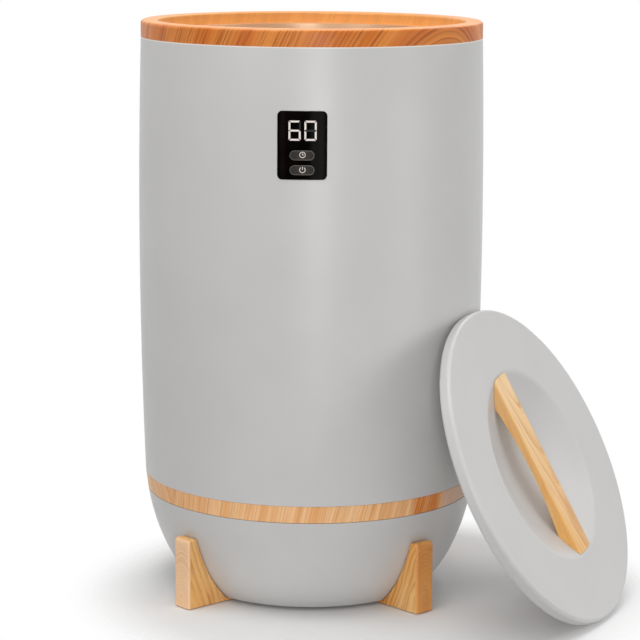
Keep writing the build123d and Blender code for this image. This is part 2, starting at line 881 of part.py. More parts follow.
for name, height in button_heights.items():
    with BuildPart() as button:
        with BuildSketch(front_plane(button_back, height)):
            SlotOverall(button_length, button_width)
        extrude(amount=front_reach)
        add(button_face, mode=Mode.INTERSECT)
        # flange behind the panel keeps the button in
        with BuildSketch(front_plane(button_back, height)):
            SlotOverall(button_length + 2 * button_flange, button_width + 2 * button_flange)
        extrude(amount=button_flange_thickness)
    save(button.part, f"{name}_button")

    with BuildPart() as plunger:
        with BuildSketch(front_plane(button_back - plunger_length, height)):
            Circle(plunger_radius)
        extrude(amount=plunger_length)
    save(plunger.part, f"{name}_plunger")

    with BuildPart() as switch:
        with BuildSketch(front_plane(board_front, height)):
            Rectangle(switch_size[0], switch_size[1])
        extrude(amount=switch_size[2])
        with BuildSketch(front_plane(board_front + switch_size[2] - switch_bore, height)):
            Circle(plunger_radius + running_gap)
        extrude(amount=switch_bore, mode=Mode.SUBTRACT)
    save(switch.part, f"{name}_switch")

# ================================================== control board and its parts
with BuildPart() as control_board:
    with BuildSketch(front_plane(board_back, control_height)):
        Rectangle(board_size[0], board_size[1])
        with GridLocations(2 * board_screw_x, 2 * board_screw_z, 2, 2):
            Circle(screw_shank + shank_gap, mode=Mode.SUBTRACT)
    extrude(amount=board_size[2])
save(control_board.part, "control_board")

with BuildPart() as display_module:
    with BuildSketch(front_plane(board_front, control_height + display_rise)):
        Rectangle(display_size[0], display_size[1])
    extrude(amount=display_size[2])
    chamfer(display_module.faces().sort_by(Axis.Y)[0].edges(), edge_break)
save(display_module.part, "display_module")

with BuildPart() as board_carrier:
    with BuildSketch(front_plane(carrier_back, control_height)):
        RectangleRounded(
            2 * (carrier_screw_x + carrier_boss_radius),
            2 * (carrier_screw_z + carrier_boss_radius),
                panel_corner,
        )
    extrude(amount=carrier_thickness)
    with BuildSketch(front_plane(carrier_back, control_height)):
        with Locations(*carrier_columns):
            Circle(carrier_boss_radius)
    extrude(amount=carrier_front - carrier_back)
    with BuildSketch(front_plane(carrier_back, control_height)):
        with Locations(*carrier_columns):
            Circle(screw_shank + shank_gap)
    extrude(amount=carrier_front - carrier_back, mode=Mode.SUBTRACT)
    with BuildSketch(front_plane(carrier_back, control_height)):
        with GridLocations(2 * board_screw_x, 2 * board_screw_z, 2, 2):
            Circle(screw_shank + screw_gap)
    extrude(amount=carrier_thickness, mode=Mode.SUBTRACT)
save(board_carrier.part, "board_carrier")

screws(
    [front_plane(carrier_back, control_height).shift_origin(
        (x, -carrier_back, control_height + z)) for x, z in carrier_columns],
    small_screw,
    carrier_front - carrier_back + carrier_pilot - small_tip_gap,
    "carrier_screws",
)
board_corners = [
    (x, z) for x in (-board_screw_x, board_screw_x) for z in (-board_screw_z, board_screw_z)
]
screws(
    [Plane(origin=(x, -board_front, control_height + z), x_dir=(1, 0, 0), z_dir=(0, 1, 0))
     for x, z in board_corners],
    small_screw,
    board_size[2] + carrier_thickness - small_tip_gap,
    "control_board_screws",
)

# =================================================================== power board
power_board_base = bowl_floor + power_board_post
power_board_top = power_board_base + power_board_size[2]
power_corners = [
    (x, y)
    for x in (-power_board_screw_x, power_board_screw_x)
    for y in (-power_board_screw_y, power_board_screw_y)
]

with BuildPart() as power_board:
    with BuildSketch(Plane.XY.offset(power_board_base)):
        Rectangle(power_board_size[0], power_board_size[1])
        with Locations(*power_corners):
            Circle(screw_shank + shank_gap, mode=Mode.SUBTRACT)
    extrude(amount=power_board_size[2])
save(power_board.part, "power_board")

screws(
    [Plane(origin=(x, y, power_board_top), z_dir=(0, 0, -1)) for x, y in power_corners],
    small_screw,
    power_board_size[2] + power_board_post - tip_gap,
    "power_board_screws",
)

with BuildPart() as power_transformer:
    with BuildSketch(Plane.XY.offset(power_board_top)):
        with Locations(transformer_at):
            Rectangle(transformer_size[0], transformer_size[1] / 2)
    extrude(amount=transformer_size[2])
    # winding around the middle of the core
    with BuildSketch(Plane.XY.offset(power_board_top + transformer_size[2] / 6)):
        with Locations(transformer_at):
            RectangleRounded(
                transformer_size[0] * winding_share, transformer_size[1], winding_round
            )
    extrude(amount=transformer_size[2] * 2 / 3)
save(power_transformer.part, "power_transformer")

with BuildPart() as heater_relay:
    with BuildSketch(Plane.XY.offset(power_board_top)):
        with Locations(relay_at):
            Rectangle(relay_size[0], relay_size[1])
    extrude(amount=relay_size[2])
    chamfer(heater_relay.faces().sort_by(Axis.Z)[-1].edges(), part_edge)
save(heater_relay.part, "heater_relay")

with BuildPart() as filter_capacitor:
    with BuildSketch(Plane.XY.offset(power_board_top)):
        with Locations(capacitor_at):
            Circle(capacitor_radius)
    extrude(amount=capacitor_height)
    fillet(filter_capacitor.faces().sort_by(Axis.Z)[-1].edges(), part_edge)
save(filter_capacitor.part, "filter_capacitor")

with BuildPart() as terminal_block:
    with BuildSketch(Plane.XY.offset(power_board_top)):
        with Locations((0, terminal_y)):
            Rectangle(terminal_size[0], terminal_size[1])
    extrude(amount=terminal_size[2])
    # entries for the leads
    lead_height = power_board_top + terminal_size[2] / 2
    terminal_back = terminal_y + terminal_size[1] / 2
    with BuildSketch(radial_plane(90, terminal_back, lead_height)):
        with GridLocations(2 * lead_spread, 0, 4, 1):
            Circle(lead_radius + running_gap)
    extrude(amount=-terminal_size[1] / 2, mode=Mode.SUBTRACT)
save(terminal_block.part, "terminal_block")

# ========================================================== wiring inside the case
ribbon_front_y = board_front + ribbon_size[1] / 2 + running_gap
ribbon_top = control_height - board_size[1] / 2 + ribbon_tail
ribbon_end_z = power_board_top + ribbon_size[1] / 2 + running_gap
ribbon_land_y = power_board_size[1] / 2 - ribbon_land
ribbon_run_y = side_insulation_radius + ribbon_size[1] + curved_gap

with BuildPart() as control_ribbon:
    with BuildLine() as ribbon_path:
        FilletPolyline(
            (0, -ribbon_front_y, ribbon_top),
            (0, -ribbon_front_y, ribbon_top - ribbon_step),
            (0, -ribbon_run_y, ribbon_top - ribbon_drop),
            (0, -ribbon_run_y, side_insulation_bottom),
            (0, -ribbon_y, side_insulation_bottom - ribbon_slant),
            (0, -ribbon_y, plate_height - ribbon_drop),
            (0, -power_board_size[1] / 2 - ribbon_swing, ribbon_end_z),
            (0, -ribbon_land_y, ribbon_end_z),
            radius=ribbon_bend,
        )
    with BuildSketch(Plane(origin=ribbon_path.line @ 0, x_dir=(1, 0, 0), z_dir=(0, 0, -1))):
        Rectangle(*ribbon_size)
    sweep()
save(control_ribbon.part, "control_ribbon")

with BuildPart() as heater_leads:
    for x in (-lead_spread, lead_spread):
        with BuildLine() as lead_path:
            FilletPolyline(
                (x, lead_y, side_heater_bottom + lead_start),
                (x, lead_y, plate_height - lead_drop),
                (x, terminal_back + lead_swing, lead_height),
                (x, terminal_back - terminal_size[1] / 2 + lead_tip_gap, lead_height),
                radius=lead_bend,
            )
        with BuildSketch(Plane(origin=lead_path.line @ 0, x_dir=(1, 0, 0), z_dir=(0, 0, -1))):
            Circle(lead_radius)
        sweep(path=lead_path.line)
save(heater_leads.part, "heater_leads")

# ============================================================================ lid
raise_cos = cos(radians(lid_raise))
raise_sin = sin(radians(lid_raise))
lid_outward = Vector(sin(radians(lid_azimuth)), -cos(radians(lid_azimuth)), 0)
lid_normal = lid_outward * raise_cos + Vector(0, 0, raise_sin)
lid_slope = lid_outward * -raise_sin + Vector(0, 0, raise_cos)

# the rounded rim stands on the floor and leans on the shell
rim_core = lid_radius - lid_round
half_core = lid_thickness / 2 - lid_round
lid_centre_height = rim_core * raise_cos + half_core * raise_sin + lid_round
touch_height = lid_centre_height + rim_core * raise_cos - half_core * raise_sin
lid_distance = (
    arc_radius(touch_height) + lean_gap
    + rim_core * raise_sin + half_core * raise_cos + lid_round
)
lid_face = (
    lid_outward * lid_distance
    + Vector(0, 0, lid_centre_height)
    + lid_normal * (lid_thickness / 2)
)
lid_side = lid_slope.cross(lid_normal)
lid_axis = Axis(lid_face, lid_normal)
lid_section = Plane(origin=lid_face, x_dir=lid_slope, z_dir=lid_side)

dish_curve = (dish_radius**2 + dish_depth**2) / (2 * dish_depth)


def dish_at(radius, grow=0.0):
    """Depth of the dish below the lid's face at a radius, on a sphere grown by an amount."""
    return sqrt((dish_curve + grow) ** 2 - radius**2) - (dish_curve - dish_depth)


def radius_at(depth, grow=0.0):
    """Radius of the dish at a depth below the face, on a sphere grown by an amount."""
    return sqrt((dish_curve + grow) ** 2 - (dish_curve - dish_depth + depth) ** 2)


def dish_arc(start_depth, grow):
    """Arc of the dish from a depth near its edge down to its middle."""
    middle = dish_radius / 2
    return ThreePointArc(
        (radius_at(start_depth, grow), -start_depth),
        (middle, -dish_at(middle, grow)),
        (0, -dish_at(0, grow)),
    )


rim_inner = lid_radius - rim_wall
shell_fold = radius_at(lid_wall, dish_wall)
handle_along = lid_slope * cos(radians(handle_turn)) - lid_side * sin(radians(handle_turn))
handle_plane = Plane(
    origin=lid_face, x_dir=handle_along, z_dir=handle_along.cross(lid_normal)
)
handle_seat_depth = dish_at(handle_screw_at - screw_head, dish_wall)
handle_points = [handle_along * handle_screw_at, handle_along * -handle_screw_at]


def across_lid(depth, shift):
    """Plane parallel to the lid's face, at a depth, shifted sideways."""
    return Plane(
        origin=lid_face + shift - lid_normal * depth, x_dir=lid_slope, z_dir=lid_normal
    )


with BuildPart() as dish_ball:
    with BuildSketch(lid_section):
        with BuildLine():
            dish_arc(0, 0)
            Polyline((0, -dish_depth), (0, 0), (dish_radius, 0))
        make_face()
    revolve(axis=lid_axis)

with BuildPart() as handle_room:
    with BuildSketch(lid_section):
        with BuildLine():
            dish_arc(0, -handle_gap)
            Polyline(
                (0, -dish_at(0, -handle_gap)), (0, 0), (radius_at(0, -handle_gap), 0)
            )
        make_face()
    revolve(axis=lid_axis)

with BuildPart() as lid_shell:
    with BuildSketch(lid_section) as lid_profile:
        with BuildLine():
            dish_arc(0, 0)
            Line((0, -dish_depth), (0, -dish_at(0, dish_wall)))
            dish_arc(lid_wall, dish_wall)
            Polyline(
                (shell_fold, -lid_wall),
                (rim_inner, -lid_wall),
                (rim_inner, -lid_thickness),
                (lid_radius, -lid_thickness),
                (lid_radius, 0),
                (dish_radius, 0),
            )
        make_face()
        rim_corners = lid_profile.vertices().group_by(Axis.X)[-1]
        fillet(rim_corners, lid_round)
        dish_corner = lid_profile.vertices().sort_by_distance((dish_radius, 0))[0]
        fillet(dish_corner, dish_lip)
    revolve(axis=lid_axis)
    # seats for the handle's screws, under the dish
    for point in handle_points:
        with BuildSketch(across_lid(handle_seat_depth, point)):
            Circle(screw_head + handle_boss_wall)
        extrude(amount=handle_seat_depth / 2)
    add(dish_ball.part, mode=Mode.SUBTRACT)
    for point in handle_points:
        with BuildSketch(across_lid(handle_seat_depth, point)):
            Circle(screw_shank + shank_gap)
        extrude(amount=handle_seat_depth / 2, mode=Mode.SUBTRACT)
save(lid_shell.part, "lid_shell")

with BuildPart() as lid_handle:
    with BuildSketch(handle_plane):
        with BuildLine():
            arch = ThreePointArc(
                (handle_arch, -handle_foot_depth),
                (0, -handle_thickness),
                (-handle_arch, -handle_foot_depth),
            )
            Polyline(
                arch @ 1,
                (-dish_radius, -handle_foot_depth),
                (-dish_radius, 0),
                (dish_radius, 0),
                (dish_radius, -handle_foot_depth),
                arch @ 0,
            )
        make_face()
    extrude(amount=handle_width / 2, both=True)
    upper_face = lid_handle.faces().sort_by(lid_axis)[-1]
    long_edges = upper_face.edges().filter_by(Axis(lid_face, handle_along))
    fillet(long_edges, handle_round)
    add(handle_room.part, mode=Mode.INTERSECT)
    for point in handle_points:
        with BuildSketch(across_lid(handle_seat_depth, point)):
            Circle(screw_shank + screw_gap)
        extrude(amount=handle_seat_depth - handle_screw_skin, mode=Mode.SUBTRACT)
save(lid_handle.part, "lid_handle")

screws(
    [across_lid(handle_seat_depth, point) for point in handle_points],
    small_screw,
    handle_seat_depth - handle_screw_skin - small_tip_gap,
    "handle_screws",
)

# -------------------------------------------------------- underside of the lid
liner_top = lid_thickness - liner_wall
plug_floor = lid_thickness + plug_floor_depth
plug_taper = lid_thickness + plug_taper_depth
plug_edge = lid_thickness + plug_guide
plug_inner = plug_radius - liner_wall

with BuildPart() as lid_liner:
    with BuildSketch(lid_section):
        Polygon(
            (rim_inner - curved_gap / 2, -liner_top),
            (rim_inner - curved_gap / 2, -lid_thickness),
            (plug_radius, -lid_thickness),
            (plug_radius, -plug_edge),
            (plug_taper_radius, -plug_taper),
            (plug_floor_radius, -plug_floor),
            (0, -plug_floor),
            (0, -plug_floor + liner_wall),
            (plug_floor_radius - liner_wall / 2, -plug_floor + liner_wall),
            (plug_taper_radius - liner_wall / 2, -plug_taper + liner_wall),
            (plug_inner, -plug_edge + liner_wall / 2),
            (plug_inner, -liner_top),
            align=None,
        )
    revolve(axis=lid_axis)
save(lid_liner.part, "lid_liner")

with BuildPart() as lid_insulation:
    with BuildSketch(lid_section):
        Polygon(
            (shell_fold + insulation_gap, -lid_wall),
            (plug_inner - insulation_gap, -lid_wall),
            (plug_inner - insulation_gap, -plug_edge + liner_wall),
            (plug_taper_radius - liner_wall / 2, -plug_taper + liner_wall + insulation_gap),
            (plug_floor_radius - liner_wall, -plug_floor + liner_wall + insulation_gap),
            (shell_fold + insulation_gap, -plug_floor + liner_wall + insulation_gap),
            align=None,
        )
    revolve(axis=lid_axis)
save(lid_insulation.part, "lid_insulation")

with BuildPart() as lid_seal:
    with BuildSketch(lid_section) as seal_section:
        Polygon(
            (plug_radius, -lid_thickness),
            (plug_radius + lid_seal_width, -lid_thickness),
            (plug_radius + lid_seal_width, -lid_thickness - lid_seal_height),
            (plug_radius, -lid_thickness - lid_seal_height),
            align=None,
        )
        fillet(seal_section.vertices().group_by(Axis.X)[-1].sort_by(Axis.Y)[0], seal_thickness)
    revolve(axis=lid_axis)
save(lid_seal.part, "lid_seal")
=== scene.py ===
"""Looks of the towel warmer bucket: finishes, lit display, icons, small parts, studio."""

import json
from math import acos, cos, pi, radians, sin, sqrt

import bmesh
import bpy
from mathutils import Matrix, Vector


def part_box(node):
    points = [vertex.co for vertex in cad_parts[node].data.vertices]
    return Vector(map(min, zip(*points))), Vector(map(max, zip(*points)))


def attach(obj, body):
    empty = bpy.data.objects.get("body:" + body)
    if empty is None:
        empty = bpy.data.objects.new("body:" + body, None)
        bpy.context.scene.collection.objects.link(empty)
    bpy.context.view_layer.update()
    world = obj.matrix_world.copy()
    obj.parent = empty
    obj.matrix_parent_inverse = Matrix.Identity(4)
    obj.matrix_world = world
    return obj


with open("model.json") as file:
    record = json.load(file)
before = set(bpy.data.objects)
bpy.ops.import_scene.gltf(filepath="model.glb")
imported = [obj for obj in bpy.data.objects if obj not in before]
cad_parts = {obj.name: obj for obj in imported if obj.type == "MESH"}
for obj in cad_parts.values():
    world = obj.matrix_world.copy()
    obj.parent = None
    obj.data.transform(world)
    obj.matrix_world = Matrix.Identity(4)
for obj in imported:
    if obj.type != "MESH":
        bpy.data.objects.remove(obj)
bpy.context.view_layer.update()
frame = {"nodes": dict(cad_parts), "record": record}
nodes = frame["nodes"]

MM = 0.001

# Sizes of the bucket that the looks follow, in millimetres
SHELL_BOTTOM, SHELL_TOP = 104.2, 491.5
SHELL_RADII = (148.2, 152.4, 150.0)      # bottom, middle, top
PANEL_PROUD = 0.4
BUTTON_PROUD = 0.35
TIMER_HEIGHT, POWER_HEIGHT = 403.1, 390.9
BUTTON_SIZE = (20.5, 8.1)
RING_MIDDLE = 498.8
BAND_MIDDLE = 96.5
FOOT_OUTER = 149.8

# The lid's own directions, as it leans
LID_AZIMUTH, LID_RAISE = radians(66.06), radians(26.57)
LID_NORMAL = Vector(
    (sin(LID_AZIMUTH) * cos(LID_RAISE), -cos(LID_AZIMUTH) * cos(LID_RAISE), sin(LID_RAISE))
)
LID_SLOPE = Vector(
    (-sin(LID_AZIMUTH) * sin(LID_RAISE), cos(LID_AZIMUTH) * sin(LID_RAISE), cos(LID_RAISE))
)
LID_SIDE = LID_SLOPE.cross(LID_NORMAL)
LID_FACE = Vector((205.9, -91.4, 131.9))
HANDLE_TURN = radians(7.2)
HANDLE_ALONG = LID_SLOPE * cos(HANDLE_TURN) - LID_SIDE * sin(HANDLE_TURN)
HANDLE_ACROSS = LID_NORMAL.cross(HANDLE_ALONG)


def paint(red, green, blue):
    """Colour as a screen shows it, 0 to 255, in the shader's own linear numbers."""
    def linear(value):
        share = value / 255
        return share / 12.92 if share <= 0.04045 else ((share + 0.055) / 1.055) ** 2.4

    return (linear(red), linear(green), linear(blue), 1.0)


def into_scene(thing):
    """The object, put into the scene."""
    bpy.context.scene.collection.objects.link(thing)
    return thing


def plain_mesh(name, shape):
    """Mesh made of a worked shape, with its faces turned outwards."""
    bmesh.ops.recalc_face_normals(shape, faces=shape.faces)
    mesh = bpy.data.meshes.new(name)
    shape.to_mesh(mesh)
    shape.free()
    return mesh


# ------------------------------------------------------------ shader arithmetic
class Field:
    """A socket of a finish, with which sums can be written as plain expressions."""

    def __init__(self, finish, socket):
        self.finish = finish
        self.socket = socket

    def reckon(self, operation, *values):
        inputs = dict(enumerate(values))
        return self.finish.node("ShaderNodeMath", {"operation": operation}, inputs)

    def __add__(self, other):
        return self.reckon("ADD", self, other)

    def __sub__(self, other):
        return self.reckon("SUBTRACT", self, other)

    def __mul__(self, other):
        return self.reckon("MULTIPLY", self, other)

    def __truediv__(self, other):
        return self.reckon("DIVIDE", self, other)

    def __radd__(self, other):
        return self.reckon("ADD", other, self)

    def __rsub__(self, other):
        return self.reckon("SUBTRACT", other, self)

    def __rmul__(self, other):
        return self.reckon("MULTIPLY", other, self)

    def __abs__(self):
        return self.reckon("ABSOLUTE", self)

    def fraction(self):
        return self.reckon("FRACT", self)

    def root(self):
        return self.reckon("SQRT", self)

    def within(self, low, high):
        """0 below low, 1 above high, and smooth between them."""
        settings = {"interpolation_type": "SMOOTHSTEP"}
        return self.finish.node("ShaderNodeMapRange", settings, {0: self, 1: low, 2: high})


class Graph:
    """A tree of shader nodes that are made one call each."""

    def __init__(self, tree):
        self.tree = tree

    def node(self, kind, settings=None, inputs=None, output=0):
        made = self.tree.nodes.new(kind)
        for name, value in (settings or {}).items():
            if name == "stops":
                ramp = made.color_ramp.elements
                while len(ramp) < len(value):
                    ramp.new(0.5)
                for element, (position, colour) in zip(ramp, value):
                    element.position = position
                    element.color = colour
            else:
                setattr(made, name, value)
        for name, value in (inputs or {}).items():
            if isinstance(value, Field):
                self.tree.links.new(value.socket, made.inputs[name])
            else:
                made.inputs[name].default_value = value
        return Field(self, made.outputs[output])

    def place(self):
        return self.node("ShaderNodeTexCoord", output="Object")

    def split(self, vector):
        parts = self.node("ShaderNodeSeparateXYZ", inputs={0: vector}).socket.node.outputs
        return [Field(self, part) for part in parts]

    def vector(self, x, y, z):
        return self.node("ShaderNodeCombineXYZ", inputs={0: x, 1: y, 2: z})

    def along(self, place, direction):
        """Distance along a fixed direction, in metres."""
        settings = {"operation": "DOT_PRODUCT"}
        return self.node("ShaderNodeVectorMath", settings, {0: place, 1: direction}, 1)

    def noise(self, vector, scale=1.0, detail=2.0, roughness=0.5):
        inputs = {"Vector": vector, "Scale": scale, "Detail": detail, "Roughness": roughness}
        return self.node("ShaderNodeTexNoise", None, inputs, "Fac")

    def cells(self, vector, scale, output="Distance"):
        inputs = {"Vector": vector, "Scale": scale}
        return self.node("ShaderNodeTexVoronoi", None, inputs, output)

    def blend(self, first, second, share, how="MIX"):
        settings = {"data_type": "RGBA", "blend_type": how}
        return self.node("ShaderNodeMix", settings, {0: share, 6: first, 7: second}, 2)

    def ramp(self, value, stops):
        greys = [(at, (tone, tone, tone, 1.0)) for at, tone in stops]
        return self.node("ShaderNodeValToRGB", {"stops": greys}, {0: value})

    def bump(self, height, strength, distance):
        inputs = {"Strength": strength, "Distance": distance, "Height": height}
        return self.node("ShaderNodeBump", None, inputs)


class Finish(Graph):
    """A material with one Principled shader, fed with fields."""

    def __init__(self, name, **constants):
        self.material = bpy.data.materials.new(name)
        self.material.use_nodes = True
        super().__init__(self.material.node_tree)
        self.tree.nodes.clear()
        self.shader = self.tree.nodes.new("ShaderNodeBsdfPrincipled")
        output = self.tree.nodes.new("ShaderNodeOutputMaterial")
        self.tree.links.new(self.shader.outputs[0], output.inputs["Surface"])
        for socket, value in constants.items():
            self.shader.inputs[socket.replace("_", " ")].default_value = value

    def feed(self, **sockets):
        for name, value in sockets.items():
            self.tree.links.new(value.socket, self.shader.inputs[name.replace("_", " ")])
        return self.material


# ------------------------------------------------------------------ grey plastics
def moulded_grey(name, shade, roughness=0.37):
    """Satin moulded plastic: a faint drift of tone, a fine texture and a painted top-edge
    highlight.
    """
    finish = Finish(name, Specular_IOR_Level=0.45)
    place = finish.place()
    x, y, z = finish.split(place)
    drift = finish.noise(place, 14, 3)
    texture = finish.noise(place, 1900, 2, 0.6)
    light = paint(*[tone + 1 for tone in shade])
    deep = paint(*[tone - 2 for tone in shade])
    colour = finish.blend(light, deep, drift.within(0.3, 0.7))
    colour = finish.blend(colour, deep, texture.within(0.55, 0.9) * 0.35)
    # pale line along the top edge: a painted highlight where the edge catches light
    painted_edge_highlight = z.within((SHELL_TOP - 1.3) * MM, (SHELL_TOP - 0.5) * MM)
    colour = finish.blend(colour, paint(244, 238, 230), painted_edge_highlight * 0.8)
    rough = roughness - 0.05 + 0.1 * finish.noise(place, 60, 2)
    normal = finish.bump(texture, strength=0.22, distance=0.00006)
    return finish.feed(Base_Color=colour, Roughness=rough, Normal=normal)


def plain_plastic(name, shade, roughness, grain_scale=1500, strength=0.2):
    """Moulded plastic inside the housing, with flow marks and a fine texture."""
    finish = Finish(name)
    place = finish.place()
    marks = finish.noise(place, 45, 3, 0.6)
    texture = finish.noise(place, grain_scale, 2)
    bright = paint(*[min(255, tone * 1.12 + 3) for tone in shade])
    colour = finish.blend(paint(*shade), bright, marks.within(0.35, 0.75))
    rough = roughness + 0.12 * (marks - 0.5)
    normal = finish.bump(texture, strength, distance=0.0001)
    return finish.feed(Base_Color=colour, Roughness=rough, Normal=normal)


# ------------------------------------------------------------------------- woods
FOIL_SHEEN = {"Coat_Weight": 0.08, "Coat_Roughness": 0.25, "Specular_IOR_Level": 0.22}
OILED_SHEEN = {"Coat_Weight": 0.08, "Coat_Roughness": 0.3, "Specular_IOR_Level": 0.25}
WALL_REACH = 0.15                # outer radius of ring and band, in metres


def wood_tones(finish, across, along, turn, tones, spacing, lines, hairs):
    """Colour and relief of wood: growth rings counted by across, fibres running along."""
    pale, warm, dark = tones
    slow = finish.noise(finish.vector(across * 34, along * 7, turn), 1, 3, 0.55)
    wide = finish.noise(finish.vector(across * 95, along * 9, turn * 2.3), 1, 2, 0.5)
    count = across / spacing + slow * 3.4 + wide * 0.9
    ring = finish.ramp(
        count.fraction(), [(0.0, 0.0), (0.35, 0.1), (0.72, 0.55), (0.9, 1.0), (1.0, 0.0)]
    )
    fibre = finish.noise(finish.vector(across * 1500, along * 70, turn * 3.1), 1, 3, 0.7)
    pores = finish.noise(finish.vector(across * 2600, along * 150, turn * 4.7), 1, 2, 0.6)
    strong = finish.noise(finish.vector(across * 60, along * 14, turn * 1.7), 1, 2, 0.5)
    streak = finish.noise(finish.vector(across * 210, along * 11, turn * 5.9), 1, 2, 0.5)
    colour = finish.blend(pale, warm, slow.within(0.32, 0.68))
    colour = finish.blend(colour, dark, streak.within(0.52, 0.78) * lines * 0.75)
    shade = ring * strong.within(0.3, 0.72)
    colour = finish.blend(colour, dark, shade * lines)
    colour = finish.blend(colour, dark, fibre.within(0.52, 0.8) * hairs)
    colour = finish.blend(colour, pale, pores.within(0.6, 0.85) * hairs * 0.8)
    relief = shade * 0.5 + fibre * 0.5
    return colour, relief


def finish_wood(finish, colour, relief):
    """Feed a wood finish with its colour, and with gloss and bump from its relief."""
    rough = 0.38 + 0.16 * relief
    normal = finish.bump(relief, strength=0.25, distance=0.00012)
    return finish.feed(Base_Color=colour, Roughness=rough, Normal=normal)


def wrapped_grain(finish, middle, arch_angle, steep, width):
    """Grain across and along a ring: arches at one angle, and upright streaks behind it."""
    x, y, z = finish.split(finish.place())
    reach = (x * x + y * y).root()
    toward = (sin(arch_angle), -cos(arch_angle))
    cosine = (x * toward[0] + y * toward[1]) / reach
    turn = cosine.reckon("ARCCOSINE", cosine * 0.99999)
    far = turn * 0.15
    bow = (far * far + width * width).root() - width
    rise = z - middle * MM
    depth = WALL_REACH - reach
    across = rise + depth * 0.7 + bow * steep
    along = rise * 0.8 + far * 0.25
    side = x * toward[1] - y * toward[0]
    sway = finish.noise(finish.vector(side * 16, cosine * 3, rise * 12), 1, 2)
    across = across + 0.006 * sway
    return across, along, cosine * 1.3, reach


def near_angle(finish, angle, half, soft):
    """1 within half of an angle round the bucket from the front, all in degrees."""
    x, y, z = finish.split(finish.place())
    aim = radians(angle)
    cosine = (x * sin(aim) - y * cos(aim)) / (x * x + y * y).root()
    return cosine.within(cos(radians(half + soft)), cos(radians(half)))


def ring_wood(name, tones, inner_light_tone, top_highlight_tone):
    """Wood-look foil of the top ring, with painted light on its top and down its inner wall."""
    finish = Finish(name, **FOIL_SHEEN)
    across, along, turn, reach = wrapped_grain(
        finish, RING_MIDDLE, radians(52), steep=2.6, width=0.125
    )
    colour, relief = wood_tones(
        finish, across, along, turn, tones, spacing=0.0074, lines=0.95, hairs=0.4
    )
    # paler down the inner wall: painted light
    inner = 1 - reach.within(0.1352, 0.1375)
    colour = finish.blend(colour, inner_light_tone, inner * 0.6)
    x, y, z = finish.split(finish.place())
    # paler along the top: a painted highlight
    top = z.within((RING_MIDDLE + 5.6) * MM, (RING_MIDDLE + 7.0) * MM)
    colour = finish.blend(colour, top_highlight_tone, top * 0.5)
    return finish_wood(finish, colour, relief)


def band_wood(name, tones, knot_tone, faded_tone):
    """Wood-look foil of the band, with a dark knot streak and a faded piece past it."""
    finish = Finish(name, **FOIL_SHEEN)
    across, along, turn, _ = wrapped_grain(
        finish, BAND_MIDDLE, radians(128), steep=4.0, width=0.09
    )
    colour, relief = wood_tones(
        finish, across, along, turn, tones, spacing=0.0105, lines=0.5, hairs=0.4
    )
    knot = near_angle(finish, 46, half=4, soft=4) * (0.55 + 0.45 * relief.within(0.2, 0.5))
    colour = finish.blend(colour, knot_tone, knot)
    colour = finish.blend(colour, faded_tone, near_angle(finish, 73, half=18, soft=0.6) * 0.7)
    return finish_wood(finish, colour, relief)


def foot_wood(name, tones, end_tone, deep_and_shadow_tone):
    """Solid wood: steep fibres on the sides, arched rings outside, deeper tone at the tips."""
    finish = Finish(name, **OILED_SHEEN)
    place = finish.place()
    x, y, z = finish.split(place)
    outward = (abs(x) + abs(y)) * sqrt(0.5) - FOOT_OUTER * MM
    sideways = (abs(x) - abs(y)) * sqrt(0.5)
    slope = Vector((-0.34, -0.94))
    rise = z - 0.004
    along = outward * slope[0] + rise * slope[1]
    off = outward * slope[1] - rise * slope[0]
    wander = finish.noise(place, 34, 2) - 0.5
    beside = (off * off + sideways * sideways * 1.7).root() * 0.8
    arched = (rise * rise + sideways * sideways * 5).root()
    outside = outward.within(-0.0022, -0.0009)
    across = beside + outside * (arched - beside) + 0.006 * wander
    colour, relief = wood_tones(
        finish, across, along, x * 9 + y * 5, tones, spacing=0.0036, lines=0.8, hairs=0.4
    )
    colour = finish.blend(colour, end_tone, outside * 0.45)
    tip = 1 - outward.within(-0.056, -0.03)
    # outer faces of the feet on the right darkened: a painted shadow of the lid
    painted_lid_shadow = outside * x.within(-0.01, 0.01)
    colour = finish.blend(colour, deep_and_shadow_tone, tip + painted_lid_shadow, "MULTIPLY")
    return finish_wood(finish, colour, relief)


def handle_wood(name, tones, side_tone):
    """Solid wood of the bar, its fibres from end to end, deeper in tone on the sides."""
    finish = Finish(name, **OILED_SHEEN)
    place = finish.place()
    start = -1 * finish.along(place, LID_NORMAL) + LID_FACE.dot(LID_NORMAL) * MM
    along = finish.along(place, HANDLE_ALONG) - LID_FACE.dot(HANDLE_ALONG) * MM
    beside = finish.along(place, HANDLE_ACROSS) - LID_FACE.dot(HANDLE_ACROSS) * MM
    tilt = start + 0.055 * along - 0.026
    lean = beside - 0.02 * along + 0.011
    wander = finish.noise(finish.vector(along * 14, beside * 40, start * 40), 1, 2) - 0.5
    across = (tilt * tilt + lean * lean).root() + 0.004 * wander
    colour, relief = wood_tones(
        finish, across, along * 0.6, along * 2, tones, spacing=0.0034, lines=0.55, hairs=0.4
    )
    flank = abs(beside).within(0.0122, 0.0137)
    colour = finish.blend(colour, side_tone, flank * 0.5)
    return finish_wood(finish, colour, relief)


# ------------------------------------------------------------- metals and the rest
def spun_metal(name, shade, roughness, metal=1.0):
    """Deep-drawn metal with fine marks running round it."""
    finish = Finish(name, Metallic=metal)
    place = finish.place()
    x, y, z = finish.split(place)
    reach = (x * x + y * y).root()
    marks = finish.noise(finish.vector(x * 3, y * 3, (z + reach) * 2400), 1, 3, 0.6)
    stain = finish.noise(place, 9, 3)
    deep = paint(*[tone * 0.95 for tone in shade])
    colour = finish.blend(paint(*shade), deep, stain.within(0.4, 0.7))
    rough = roughness + 0.12 * marks
    normal = finish.bump(marks, strength=0.16, distance=0.00005)
    return finish.feed(Base_Color=colour, Roughness=rough, Normal=normal)


